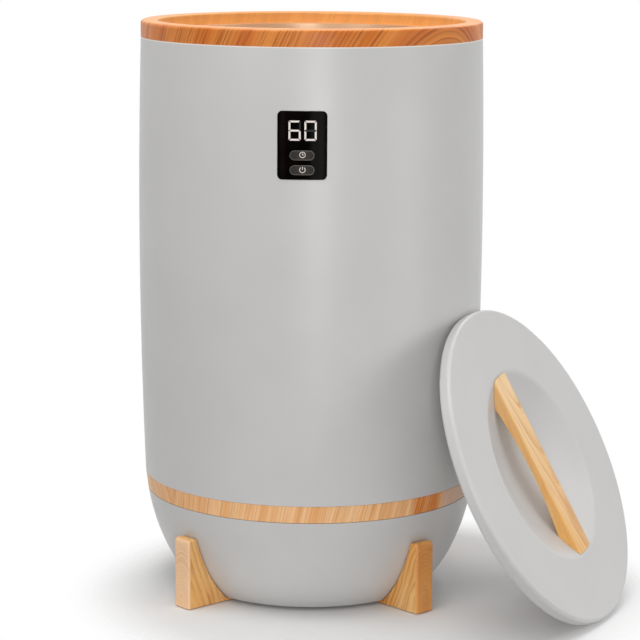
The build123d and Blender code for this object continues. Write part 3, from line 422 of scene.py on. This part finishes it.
def zinc_steel(name, shade, roughness):
    """Zinc-plated steel with a cloudy surface and turning marks."""
    finish = Finish(name, Metallic=1.0)
    place = finish.place()
    cloud = finish.cells(place, 700, "Color")
    marks = finish.noise(place, 3200, 2)
    colour = finish.blend(paint(*shade), cloud, 0.12, "MULTIPLY")
    rough = roughness + 0.2 * (marks - 0.5)
    normal = finish.bump(marks, strength=0.2, distance=0.00004)
    return finish.feed(Base_Color=colour, Roughness=rough, Normal=normal)


def crinkled_foil(name):
    """Aluminium foil, pressed flat over a heating wire and crinkled."""
    finish = Finish(name, Metallic=1.0)
    place = finish.place()
    x, y, z = finish.split(place)
    creases = finish.cells(place, 130)
    wire = (z * 70 + 0.3 * finish.noise(place, 8)).fraction()
    ridge = finish.ramp(wire, [(0.0, 0.0), (0.42, 0.0), (0.5, 1.0), (0.58, 0.0), (1.0, 0.0)])
    colour = finish.blend(paint(222, 223, 226), paint(186, 188, 192), creases.within(0.1, 0.6))
    rough = 0.24 + 0.2 * creases
    normal = finish.bump(creases * 0.5 + ridge, strength=0.5, distance=0.0006)
    return finish.feed(Base_Color=colour, Roughness=rough, Normal=normal)


def rubber(name, shade, roughness=0.75, ribs=0.0):
    """Rubber or silicone, a little dusty, with ribs where it has them."""
    finish = Finish(name)
    place = finish.place()
    x, y, z = finish.split(place)
    dust = finish.noise(place, 120, 4, 0.65)
    bright = paint(*[min(255, tone + 22) for tone in shade])
    colour = finish.blend(paint(*shade), bright, dust.within(0.5, 0.85) * 0.6)
    height = finish.noise(place, 1400, 2)
    if ribs:
        rib = ((x * x + y * y).root() * ribs).fraction()
        height = height * 0.2 + finish.ramp(
            rib, [(0.0, 0.0), (0.3, 1.0), (0.7, 1.0), (1.0, 0.0)]
        )
    rough = roughness - 0.08 + 0.14 * dust
    normal = finish.bump(height, strength=0.3, distance=0.0003)
    return finish.feed(Base_Color=colour, Roughness=rough, Normal=normal)


def felt(name, shade):
    """Needled felt: matted fibres with small pits where the needles went in."""
    finish = Finish(name, Sheen_Weight=0.4)
    place = finish.place()
    mat = finish.noise(place, 900, 4, 0.75)
    pits = finish.cells(place, 420)
    deep = paint(*[tone * 0.72 for tone in shade])
    colour = finish.blend(paint(*shade), deep, mat.within(0.45, 0.75) * 0.8)
    height = mat + pits.within(0.0, 0.4) * 0.5
    normal = finish.bump(height, strength=0.8, distance=0.0008)
    return finish.feed(Base_Color=colour, Roughness=0.85 + 0.1 * mat, Normal=normal)


def black_gloss(name):
    """Smoked gloss window of the control panel, with the faintest haze and wipe marks."""
    finish = Finish(name, Specular_IOR_Level=0.008)
    place = finish.place()
    x, y, z = finish.split(place)
    haze = finish.noise(place, 40, 3)
    wipes = finish.noise(finish.vector(x * 60, y * 60, z * 900), 1, 2, 0.6)
    edge = abs(x).within(0.0125, 0.016) * (1 - abs(x).within(0.0175, 0.019))
    colour = finish.blend(paint(5, 3, 2), paint(10, 7, 6), haze.within(0.35, 0.7))
    colour = finish.blend(colour, paint(27, 20, 19), edge * haze)
    rough = 0.07 + 0.05 * haze + 0.04 * wipes
    normal = finish.bump(wipes, strength=0.04, distance=0.00003)
    return finish.feed(Base_Color=colour, Roughness=rough, Normal=normal)


def key_plastic(name):
    """Dark satin plastic of the buttons, finely textured and a little worn in the middle."""
    finish = Finish(name, Specular_IOR_Level=0.12)
    place = finish.place()
    x, y, z = finish.split(place)
    texture = finish.noise(place, 2400, 2)
    worn = 1 - abs(x).within(0.002, 0.009)
    colour = finish.blend(paint(44, 41, 37), paint(54, 49, 46), worn * 0.6)
    colour = finish.blend(colour, paint(30, 28, 26), texture.within(0.5, 0.8) * 0.4)
    rough = 0.5 - 0.12 * worn + 0.05 * texture
    normal = finish.bump(texture, strength=0.25, distance=0.00006)
    return finish.feed(Base_Color=colour, Roughness=rough, Normal=normal)


def lit(name, colour, glow, haze=0.15):
    """Marking that gives light, a little unevenly."""
    finish = Finish(
        name, Roughness=0.35, Emission_Strength=glow, Specular_IOR_Level=0.1,
        Base_Color=paint(30, 28, 28),
    )
    place = finish.place()
    uneven = finish.noise(place, 700, 2)
    dim = paint(*[tone * (1 - haze) for tone in colour])
    shown = finish.blend(paint(*colour), dim, uneven.within(0.35, 0.75))
    return finish.feed(Emission_Color=shown)


def circuit_board(name, upright):
    """Green board with its copper tracks and tinned pads under the varnish."""
    finish = Finish(name, Coat_Weight=0.4, Coat_Roughness=0.15)
    place = finish.place()
    x, y, z = finish.split(place)
    second = z if upright else y
    flat = finish.vector(x, second, 0.0)
    blocks = finish.cells(flat, 130, "Color")
    first, other, third = finish.split(blocks)
    runs = ((x + second * first) * 420).fraction()
    tracks = finish.ramp(runs, [(0.0, 0.0), (0.38, 0.0), (0.42, 1.0), (0.62, 1.0), (0.66, 0.0)])
    tracks = tracks * other.within(0.4, 0.45)
    pads = 1 - finish.cells(flat, 260).within(0.16, 0.2)
    pads = pads * third.within(0.55, 0.6)
    colour = finish.blend(paint(18, 74, 40), paint(34, 104, 58), tracks)
    colour = finish.blend(colour, paint(196, 194, 188), pads)
    normal = finish.bump(tracks * 0.5 + pads, strength=0.4, distance=0.0001)
    return finish.feed(Base_Color=colour, Roughness=0.38 - 0.12 * pads, Normal=normal)


def laminated_core(name):
    """Steel plates stacked into a core, with varnish run between them."""
    finish = Finish(name, Metallic=0.8)
    place = finish.place()
    x, y, z = finish.split(place)
    plates = (y * 1900).fraction()
    seams = finish.ramp(plates, [(0.0, 1.0), (0.16, 0.0), (0.84, 0.0), (1.0, 1.0)])
    rust = finish.noise(place, 160, 4)
    colour = finish.blend(paint(122, 122, 126), paint(104, 88, 74), rust.within(0.55, 0.8))
    colour = finish.blend(colour, paint(46, 42, 40), seams)
    normal = finish.bump(1 - seams, strength=0.5, distance=0.0002)
    return finish.feed(Base_Color=colour, Roughness=0.42 + 0.2 * rust, Normal=normal)


def capacitor_sleeve(name):
    """Shrunk sleeve of the capacitor, with its pale stripe down one side."""
    finish = Finish(name, Coat_Weight=0.5, Coat_Roughness=0.2)
    place = finish.place()
    x, y, z = finish.split(place)
    stripe = 1 - abs(x - 0.004).within(0.0014, 0.0017)
    behind = (y + 0.002).within(0.0, 0.0004)
    creases = finish.noise(place, 900, 3)
    colour = finish.blend(paint(26, 27, 44), paint(150, 152, 160), stripe * behind)
    normal = finish.bump(creases, strength=0.2, distance=0.0001)
    return finish.feed(Base_Color=colour, Roughness=0.3 + 0.1 * creases, Normal=normal)


def cable_sheath(name, shade):
    """Drawn cable sheath with faint lengthwise scuffs."""
    finish = Finish(name)
    place = finish.place()
    x, y, z = finish.split(place)
    scuff = finish.noise(finish.vector(x * 1800, y * 240, z * 240), 1, 3)
    bright = paint(*[tone + 26 for tone in shade])
    colour = finish.blend(paint(*shade), bright, scuff.within(0.5, 0.85) * 0.5)
    normal = finish.bump(scuff, strength=0.2, distance=0.0001)
    return finish.feed(Base_Color=colour, Roughness=0.48 + 0.12 * scuff, Normal=normal)


# ------------------------------------------------------------ finishes of the parts
RING_TONES = (paint(228, 142, 64), paint(208, 110, 34), paint(140, 58, 8))
RING_INNER_LIGHT, RING_TOP_HIGHLIGHT = paint(255, 190, 114), paint(255, 192, 134)
BAND_TONES = (paint(255, 208, 156), paint(244, 180, 118), paint(178, 98, 38))
BAND_KNOT, BAND_FADED = paint(218, 116, 14), paint(226, 188, 168)
FOOT_TONES = (paint(244, 198, 134), paint(232, 168, 86), paint(182, 104, 34))
FOOT_END, FOOT_DEEP_AND_SHADOW = paint(255, 222, 196), paint(236, 200, 144)
HANDLE_TONES = (paint(252, 218, 170), paint(242, 192, 126), paint(190, 116, 48))
HANDLE_SIDE = paint(240, 172, 82)

finishes = {
    "shell_grey": moulded_grey("satin grey plastic", (205, 204, 203)),
    "liner_grey": plain_plastic("grey liner plastic", (196, 195, 193), 0.5),
    "wood_ring": ring_wood("wood look of the ring", RING_TONES, RING_INNER_LIGHT, RING_TOP_HIGHLIGHT),
    "wood_band": band_wood("wood look of the band", BAND_TONES, BAND_KNOT, BAND_FADED),
    "wood_feet": foot_wood("solid wood of the feet", FOOT_TONES, FOOT_END, FOOT_DEEP_AND_SHADOW),
    "wood_handle": handle_wood("solid wood of the bar", HANDLE_TONES, HANDLE_SIDE),
    "pad_rubber": rubber("black pad rubber", (30, 29, 29), ribs=420),
    # the peach tint of this aluminium is a painted reflection of the wood ring
    "bucket_metal": spun_metal("spun aluminium with painted wood reflection", (248, 218, 186), 0.24, metal=0.8),
    "heater_foil": crinkled_foil("heater foil"),
    "heater_silicone": rubber("red silicone mat", (150, 62, 44), 0.6, ribs=160),
    "felt": felt("needled felt", (222, 216, 204)),
    "seal_silicone": rubber("white silicone", (214, 213, 210), 0.5),
    "inner_plastic": plain_plastic("dark inner plastic", (58, 58, 60), 0.55),
    "panel_gloss": black_gloss("smoked gloss window"),
    "button_dark": key_plastic("dark button plastic"),
    "switch_black": plain_plastic("black switch plastic", (24, 24, 25), 0.45),
    "plunger_plastic": plain_plastic("red plunger plastic", (150, 46, 36), 0.4),
    "board_green": circuit_board("green board", upright=False),
    "board_upright": circuit_board("green upright board", upright=True),
    "relay_blue": plain_plastic(
        "blue relay case", (40, 92, 170), 0.3, grain_scale=600, strength=0.1
    ),
    "core_steel": laminated_core("stacked core steel"),
    "capacitor_sleeve": capacitor_sleeve("capacitor sleeve"),
    "sensor_epoxy": plain_plastic(
        "brown sensor resin", (74, 52, 40), 0.35, grain_scale=500, strength=0.3
    ),
    "cable_black": cable_sheath("black cable sheath", (30, 30, 31)),
    "gland_black": plain_plastic("black gland plastic", (34, 34, 35), 0.5),
    "screw_steel": zinc_steel("zinc-plated steel", (186, 188, 190), 0.34),
}
slots = {row["node"]: row["material_slot"] for row in frame["record"]["subparts"]}
slots["control_board"] = "board_upright"

for name, node in nodes.items():
    node.data.materials.clear()
    node.data.materials.append(finishes[slots[name]])


# ------------------------------------------------------------- markings on the front
def shell_radius(height):
    """Outer radius of the shell at a height, in millimetres."""
    low, middle, high = SHELL_RADII
    centre = (SHELL_BOTTOM + SHELL_TOP) / 2
    share = (height - centre) / ((SHELL_TOP - SHELL_BOTTOM) / 2)
    return middle + (high - low) / 2 * share - (middle - (high + low) / 2) * share**2


def on_front(across, height, proud):
    """Point on the curved front, in metres, from millimetres measured along its surface."""
    radius = shell_radius(height)
    turn = across / radius
    reach = (radius + proud) * MM
    return Vector((reach * sin(turn), -reach * cos(turn), height * MM))


def as_piece(name, mesh, body, finish):
    """Make an object of a finished mesh, riding on a body."""
    mesh.materials.clear()
    mesh.materials.append(finish)
    piece = into_scene(bpy.data.objects.new(name, mesh))
    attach(piece, body)


MARK_SUNK, MARK_PROUD, UNLIT_PROUD, HIGHLIGHT_LINE_PROUD = 0.1, 0.05, 0.02, 0.04
STRIP_WIDTH = 1.0


def marking(name, outlines, base, high, body, finish):
    """Thin raised marking on the front, from flat outlines in millimetres."""
    shape = bmesh.new()
    for outline in outlines:
        shape.faces.new([shape.verts.new((x, y, 0)) for x, y in outline])
    bmesh.ops.remove_doubles(shape, verts=shape.verts, dist=0.001)
    widest = max(abs(v.co.x) for v in shape.verts)
    cut = -widest
    while cut < widest:          # cut into strips, so that it can follow the curve
        everything = shape.verts[:] + shape.edges[:] + shape.faces[:]
        bmesh.ops.bisect_plane(shape, geom=everything, plane_co=(cut, 0, 0), plane_no=(1, 0, 0))
        cut += STRIP_WIDTH
    lower = set(shape.verts)
    bmesh.ops.extrude_face_region(shape, geom=shape.faces[:], use_keep_orig=True)
    for vertex in shape.verts:
        proud = -MARK_SUNK if vertex in lower else high
        vertex.co = on_front(vertex.co.x, vertex.co.y, base + proud)
    as_piece(name, plain_mesh(name, shape), body, finish)


DIGIT_WIDTH, DIGIT_HEIGHT, STROKE, SPLIT = 10.05, 16.5, 1.55, 0.28
DIGIT_FOOT, TENS_LEFT, UNITS_LEFT = 415.2, -11.25, 1.85


def digit_bars(left, foot):
    """The seven bars of a digit, named a to g, as outlines with mitred ends."""
    w, h, t, s = DIGIT_WIDTH, DIGIT_HEIGHT, STROKE, SPLIT
    half = h / 2

    def at(points):
        return [(left + x, foot + y) for x, y in points]

    def flat(level, inner):
        tip = 0.25 * t
        return at([
            (s + tip, level), (w - s - tip, level),
            (w - s - t, level + inner), (s + t, level + inner),
        ])

    def upright(edge, inner, low, high, low_cut, high_cut):
        return at([
            (edge, low + low_cut[0]), (edge, high - high_cut[0]),
            (edge + inner, high - high_cut[1]), (edge + inner, low + low_cut[1]),
        ])

    outer, mitre, waist = s + 0.25 * t, s + t, 0.35 * t
    return {
        "a": flat(h, -t),
        "d": flat(0, t),
        "g": at([
            (s + 0.3 * t, half), (s + t, half + t / 2), (w - s - t, half + t / 2),
            (w - s - 0.3 * t, half), (w - s - t, half - t / 2), (s + t, half - t / 2),
        ]),
        "f": upright(0, t, half, h, (s, s + waist + 0.1), (outer, mitre)),
        "e": upright(0, t, 0, half, (outer, mitre), (s, s + waist + 0.1)),
        "b": upright(w, -t, half, h, (s, s + waist + 0.1), (outer, mitre)),
        "c": upright(w, -t, 0, half, (outer, mitre), (s, s + waist + 0.1)),
    }


glow = lit("lit white segments", (230, 220, 214), glow=1.0, haze=0.04)
# the unlit segments are given a faint painted glow
unlit_faint_glow = lit("unlit segments with faint painted glow", (26, 12, 10), glow=0.2)
icon_light = lit("lit grey icons", (224, 216, 208), glow=1.0, haze=0.06)
shown_bars = {"tens": (TENS_LEFT, "acdefg"), "units": (UNITS_LEFT, "abcdef")}
for place_name, (left, on) in shown_bars.items():
    bars = digit_bars(left, DIGIT_FOOT)
    marking(
        f"display_{place_name}_lit", [bars[b] for b in sorted(bars) if b in on],
        PANEL_PROUD, MARK_PROUD, "housing", glow,
    )
    marking(
        f"display_{place_name}_unlit", [bars[b] for b in sorted(bars) if b not in on],
        PANEL_PROUD, UNLIT_PROUD, "housing", unlit_faint_glow,
    )


ICON_SIDE, TIMER_ICON, POWER_ICON = 0.35, TIMER_HEIGHT + 0.5, POWER_HEIGHT + 0.3
ICON_OUTER, ICON_INNER, ICON_STROKE = 2.55, 2.0, 0.55
HAND_HALF, LONG_HAND, SHORT_HAND = 0.27, 1.25, 0.95
POWER_GAP, POWER_BAR = 36, (0.1, 2.6)    # half the ring's gap in degrees; the bar's ends


def ring_outline(height, outer, inner, start, end, steps=28):
    """Quads of an open or closed ring on the front, angles in degrees from the top."""
    quads = []
    for step in range(steps):
        first = radians(start + (end - start) * step / steps)
        second = radians(start + (end - start) * (step + 1) / steps)
        quads.append([
            (ICON_SIDE + outer * sin(first), height + outer * cos(first)),
            (ICON_SIDE + outer * sin(second), height + outer * cos(second)),
            (ICON_SIDE + inner * sin(second), height + inner * cos(second)),
            (ICON_SIDE + inner * sin(first), height + inner * cos(first)),
        ])
    return quads


def bar_outline(x, low, high, width):
    """Outline of an upright bar."""
    half = width / 2
    return [(x - half, low), (x + half, low), (x + half, high), (x - half, high)]


KEY_FACE = PANEL_PROUD + BUTTON_PROUD
marking(
    "timer_icon_ring", ring_outline(TIMER_ICON, ICON_OUTER, ICON_INNER, 0, 360),
    KEY_FACE, MARK_PROUD, "timer_key", icon_light,
)
marking(
    "timer_icon_hands",
    [
        bar_outline(ICON_SIDE, TIMER_ICON - HAND_HALF, TIMER_ICON + LONG_HAND, ICON_STROKE),
        [
            (ICON_SIDE + HAND_HALF, TIMER_ICON - HAND_HALF),
            (ICON_SIDE + SHORT_HAND, TIMER_ICON - HAND_HALF),
            (ICON_SIDE + SHORT_HAND, TIMER_ICON + HAND_HALF),
            (ICON_SIDE + HAND_HALF, TIMER_ICON + HAND_HALF),
        ],
    ],
    KEY_FACE, MARK_PROUD, "timer_key", icon_light,
)
marking(
    "power_icon_ring",
    ring_outline(POWER_ICON, ICON_OUTER, ICON_INNER, POWER_GAP, 360 - POWER_GAP),
    KEY_FACE, MARK_PROUD, "power_key", icon_light,
)
marking(
    "power_icon_bar",
    [bar_outline(ICON_SIDE, POWER_ICON + POWER_BAR[0], POWER_ICON + POWER_BAR[1], ICON_STROKE)],
    KEY_FACE, MARK_PROUD, "power_key", icon_light,
)


def capsule_highlight_line(height, inset, width, steps=12):
    """Quads of a thin pale line round a button's face, a painted highlight of its edge."""
    def edge(shrink):
        radius = BUTTON_SIZE[1] / 2 - shrink
        half = BUTTON_SIZE[0] / 2 - BUTTON_SIZE[1] / 2
        points = []
        for side in (1, -1):
            for step in range(steps + 1):
                turn = radians(180 * step / steps)
                points.append((
                    side * (half + radius * sin(turn)), height + side * radius * cos(turn)
                ))
        return points

    outer, inner = edge(inset), edge(inset + width)
    count = len(outer)
    return [
        [outer[i], outer[(i + 1) % count], inner[(i + 1) % count], inner[i]]
        for i in range(count)
    ]


# the pale line round each button is a painted highlight of its bevelled edge
rim_highlight_finish = plain_plastic("button rim highlight line", (74, 69, 64), 0.4)
for key, height in (("timer", TIMER_HEIGHT), ("power", POWER_HEIGHT)):
    marking(
        f"{key}_button_rim", capsule_highlight_line(height, inset=0.12, width=0.42),
        KEY_FACE, HIGHLIGHT_LINE_PROUD, f"{key}_key", rim_highlight_finish,
    )


# ------------------------------------------------- small parts inside the housing
def rows_tree():
    """Geometry tree that sets a part out in rows and columns."""
    tree = bpy.data.node_groups.new("parts in rows", "GeometryNodeTree")
    face = tree.interface
    for label, kind in (
        ("Part", "NodeSocketObject"), ("Finish", "NodeSocketMaterial"),
        ("Start", "NodeSocketVector"), ("Step", "NodeSocketVector"), ("Count", "NodeSocketInt"),
        ("Row Step", "NodeSocketVector"), ("Rows", "NodeSocketInt"),
    ):
        face.new_socket(name=label, in_out="INPUT", socket_type=kind)
    face.new_socket(name="Geometry", in_out="OUTPUT", socket_type="NodeSocketGeometry")
    given = tree.nodes.new("NodeGroupInput").outputs

    def add(kind, links, **settings):
        made = tree.nodes.new(kind)
        for key, value in settings.items():
            setattr(made, key, value)
        for key, value in links.items():
            tree.links.new(value, made.inputs[key])
        return made.outputs

    line = add("GeometryNodeMeshLine", {
        "Count": given["Count"], "Start Location": given["Start"], "Offset": given["Step"],
    })
    rows = add("GeometryNodeMeshLine", {"Count": given["Rows"], "Offset": given["Row Step"]})
    one_row = add("GeometryNodeMeshToPoints", {"Mesh": line[0]})
    starts = add("GeometryNodeMeshToPoints", {"Mesh": rows[0]})
    spread = add("GeometryNodeInstanceOnPoints", {"Points": starts[0], "Instance": one_row[0]})
    points = add("GeometryNodeRealizeInstances", {"Geometry": spread[0]})
    part = add("GeometryNodeObjectInfo", {"Object": given["Part"]})
    set_out = add("GeometryNodeInstanceOnPoints", {
        "Points": points[0], "Instance": part["Geometry"],
    })
    solid = add("GeometryNodeRealizeInstances", {"Geometry": set_out[0]})
    done = add("GeometryNodeSetMaterial", {"Geometry": solid[0], "Material": given["Finish"]})
    tree.links.new(done[0], tree.nodes.new("NodeGroupOutput").inputs[0])
    return tree


ROWS = rows_tree()


def in_rows(name, part, finish, start, step, count, row_step=(0, 0, 0), rows=1):
    """Copies of a part's mesh in rows, in millimetres, made one plain mesh."""
    template = into_scene(bpy.data.objects.new("part to repeat", part))
    carrier = into_scene(bpy.data.objects.new("rows", bpy.data.meshes.new("rows")))
    modifier = carrier.modifiers.new("rows", "NODES")
    modifier.node_group = ROWS
    values = {
        "Part": template, "Finish": finish, "Start": [v * MM for v in start],
        "Step": [v * MM for v in step], "Count": count,
        "Row Step": [v * MM for v in row_step], "Rows": rows,
    }
    for item in ROWS.interface.items_tree:
        if item.name in values:
            modifier[item.identifier] = values[item.name]
    evaluated = carrier.evaluated_get(bpy.context.evaluated_depsgraph_get())
    mesh = bpy.data.meshes.new_from_object(evaluated)
    carrier.modifiers.clear()
    for made in (template, carrier):
        bpy.data.objects.remove(made)
    mesh.name = name
    as_piece(name, mesh, "housing", finish)


def turned_part(name, profile, sides=20, slot_width=0.0, slot_depth=0.0):
    """Round part from a half profile in millimetres, upright, with a driver slot on top."""
    shape = bmesh.new()
    rings = []
    for radius, height in profile:
        rings.append([
            shape.verts.new((
                radius * cos(2 * pi * i / sides) * MM,
                radius * sin(2 * pi * i / sides) * MM,
                height * MM,
            ))
            for i in range(sides)
        ])
    for lower, upper in zip(rings, rings[1:]):
        for i in range(sides):
            j = (i + 1) % sides
            shape.faces.new((lower[i], lower[j], upper[j], upper[i]))
    shape.faces.new(list(reversed(rings[0])))
    top = shape.faces.new(rings[-1])
    if slot_width:
        for side in (-1, 1):
            everything = shape.verts[:] + shape.edges[:] + shape.faces[:]
            edge = (side * slot_width / 2 * MM, 0, 0)
            bmesh.ops.bisect_plane(shape, geom=everything, plane_co=edge, plane_no=(1, 0, 0))
        level = profile[-1][1] * MM
        middle = [
            f for f in shape.faces
            if abs(f.calc_center_median().x) < slot_width / 4 * MM
            and abs(f.calc_center_median().z - level) < 1e-6
        ]
        cut = bmesh.ops.extrude_face_region(shape, geom=middle)
        sunk = [v for v in cut["geom"] if isinstance(v, bmesh.types.BMVert)]
        for vertex in sunk:
            vertex.co.z -= slot_depth * MM
        bmesh.ops.delete(shape, geom=middle, context="FACES_ONLY")
    elif top.is_valid:
        top.smooth = False
    return plain_mesh(name, shape)


def chip_part(name, length, width, height, upright=False):
    """Small surface-mounted part: a body with two ends a little wider than it."""
    shape = bmesh.new()
    shoulder = length / 4
    for low, high, grow in (
        (-length / 2, -shoulder, 0.06),
        (-shoulder, shoulder, 0.0),
        (shoulder, length / 2, 0.06),
    ):
        made = bmesh.ops.create_cube(shape, size=1.0)["verts"]
        for vertex in made:
            x = low if vertex.co.x < 0 else high
            y = (width / 2 + grow) * (1 if vertex.co.y > 0 else -1)
            z = (height + grow) if vertex.co.z > 0 else 0.0
            point = (x, -z, y) if upright else (x, y, z)
            vertex.co = Vector(point) * MM
    bmesh.ops.bevel(shape, geom=shape.edges[:], offset=0.05 * MM, segments=1, affect="EDGES")
    return plain_mesh(name, shape)


steel = finishes["screw_steel"]
chip_finish = plain_plastic("black chip bodies", (30, 30, 32), 0.4)
copper = spun_metal("enamelled copper wire", (190, 104, 58), 0.3)

board_under, board_top = [corner.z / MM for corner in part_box("power_board")]
terminal_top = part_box("terminal_block")[1].z / MM
in_rows(
    "terminal_screw_heads",
    turned_part(
        "terminal screw", [(2.3, -1.0), (2.3, 0.3), (2.0, 0.6)], slot_width=0.7, slot_depth=0.45
    ),
    steel, (-15, 24, terminal_top), (10, 0, 0), 4,
)
in_rows(
    "power_board_chips", chip_part("power chip", 3.2, 1.6, 0.7), chip_finish,
    (14, 8, board_top), (6, 0, 0), 4, (0, 4, 0), 2,
)
in_rows(
    "power_board_pins",
    turned_part("solder pin", [(1.1, 0.0), (0.8, -0.3), (0.4, -0.8), (0.35, -1.6)], sides=10),
    steel, (-24, -20, board_under), (8, 0, 0), 7, (0, 16, 0), 3,
)

board_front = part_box("control_board")[0].y / MM
in_rows(
    "control_board_chips", chip_part("control chip", 2.0, 1.25, 0.6, upright=True), chip_finish,
    (-14, board_front, 402), (3.6, 0, 0), 2, (0, 0, -4), 4,
)


def winding_loop(name, half_length, half_width, wire, corner=3.0, sides=6, steps=6):
    """One turn of wire, a rounded rectangle in the plane of the board."""
    path = []
    for cx, cy, start in ((1, 1, 0), (-1, 1, 90), (-1, -1, 180), (1, -1, 270)):
        for step in range(steps + 1):
            turn = radians(start + 90 * step / steps)
            path.append((
                cx * (half_length - corner) + corner * cos(turn),
                cy * (half_width - corner) + corner * sin(turn),
            ))
    shape = bmesh.new()
    rings = []
    for i, (x, y) in enumerate(path):
        before, after = Vector(path[i - 1]), Vector(path[(i + 1) % len(path)])
        forward = (after - before).normalized()
        outward = Vector((forward.y, -forward.x))
        rings.append([
            shape.verts.new((
                (x + outward.x * wire * cos(2 * pi * k / sides)) * MM,
                (y + outward.y * wire * cos(2 * pi * k / sides)) * MM,
                wire * sin(2 * pi * k / sides) * MM,
            ))
            for k in range(sides)
        ])
    for i, ring in enumerate(rings):
        following = rings[(i + 1) % len(rings)]
        for k in range(sides):
            m = (k + 1) % sides
            shape.faces.new((ring[k], ring[m], following[m], following[k]))
    return plain_mesh(name, shape)


in_rows(
    "transformer_winding", winding_loop("winding turn", 9.35, 13.35, wire=0.4),
    copper,
    (-28, -12, board_top + 4.6), (0, 0, 0.82), 17,
)

# ------------------------------------------------------------------ camera and studio
SHOT_FROM = Vector((0.10563, -2.10505, 0.61947))
SHOT_TURN, SHOT_DIP, SHOT_ROLL = 0.0461, 0.17897, 0.00566    # radians
SENSOR_WIDTH, LENS = 36.0, 134.28                            # millimetres

camera = into_scene(bpy.data.objects.new("camera", bpy.data.cameras.new("camera")))
camera.data.sensor_width = SENSOR_WIDTH
camera.data.lens = LENS
ahead = Vector((0, cos(SHOT_DIP), -sin(SHOT_DIP)))
level = Vector((1, 0, 0))
overhead = level.cross(ahead)
right = level * cos(SHOT_ROLL) + overhead * sin(SHOT_ROLL)
above = overhead * cos(SHOT_ROLL) - level * sin(SHOT_ROLL)
turned = Matrix.Rotation(SHOT_TURN, 3, "Z")
axes = Matrix((turned @ right, turned @ above, turned @ -ahead)).transposed()
camera.matrix_world = Matrix.Translation(SHOT_FROM) @ axes.to_4x4()
bpy.context.scene.camera = camera


def softbox(name, spot, aim, size, power):
    """Rectangular studio lamp, aimed at a point."""
    lamp = bpy.data.lights.new(name, "AREA")
    lamp.shape = "RECTANGLE"
    lamp.size, lamp.size_y = size
    lamp.energy = power
    stand = into_scene(bpy.data.objects.new(name, lamp))
    stand.location = spot
    stand.rotation_mode = "QUATERNION"
    stand.rotation_quaternion = (Vector(aim) - Vector(spot)).to_track_quat("-Z", "Y")


softbox("side softbox", (2.0, 0.1, 1.1), (0.1, 0, 0.2), (0.9, 0.9), 4.5)
softbox("low softbox", (1.1, -0.5, 0.25), (0.25, -0.1, 0.1), (0.4, 0.4), 1.4)
softbox("rear softbox", (0.9, 1.5, 1.9), (0.1, 0, 0.2), (0.9, 0.9), 10)
softbox("front softbox", (0.24, -2.0, 0.38), (0, 0, 0.2), (0.3, 0.8), 10)
softbox("left softbox", (-1.3, -1.7, 0.8), (0, 0, 0.22), (0.8, 1.0), 4.5)
softbox("top softbox", (-0.3, -0.3, 2.0), (0, 0, 0.2), (1.6, 1.6), 24)

SKY_LIGHT = 0.34
FLOOR_TONE = 0.82
FLOOR_PATCH = 0.06, -0.04        # middle of the part that shows, which fades out round it
PATCH_FULL, PATCH_GONE = 0.19, 0.28
FLOOR_REACH = 6.0

world = bpy.data.worlds.new("studio")
bpy.context.scene.world = world
world.use_nodes = True
sky = Graph(world.node_tree)
background = world.node_tree.nodes["Background"]
background.inputs["Color"].default_value = (1.0, 1.0, 1.0, 1.0)
seen = sky.node("ShaderNodeLightPath", output="Is Camera Ray")
for ray in ("Is Glossy Ray", "Is Transmission Ray"):
    seen = seen.reckon("MAXIMUM", seen, sky.node("ShaderNodeLightPath", output=ray))
strength = SKY_LIGHT + (1 - SKY_LIGHT) * seen
world.node_tree.links.new(strength.socket, background.inputs["Strength"])

floor_finish = Finish(
    "studio floor", Base_Color=(FLOOR_TONE, FLOOR_TONE, FLOOR_TONE, 1.0), Roughness=1.0,
    Specular_IOR_Level=0.0,
)
x, y, z = floor_finish.split(floor_finish.place())
across, along = x - FLOOR_PATCH[0], y - FLOOR_PATCH[1]
patch = 1 - (across * across + along * along).root().within(PATCH_FULL, PATCH_GONE)
behind = floor_finish.node("ShaderNodeNewGeometry", output="Backfacing")
floor_finish.feed(Alpha=patch * (1 - behind))

floor_mesh = bpy.data.meshes.new("studio floor")
corners = [(-1, -1), (1, -1), (1, 1), (-1, 1)]
spots = [(a * FLOOR_REACH, b * FLOOR_REACH, 0) for a, b in corners]
floor_mesh.from_pydata(spots, [], [range(4)])
floor_mesh.materials.append(floor_finish.material)
studio_floor = into_scene(bpy.data.objects.new("studio_floor", floor_mesh))

bpy.context.scene.view_settings.view_transform = "Standard"
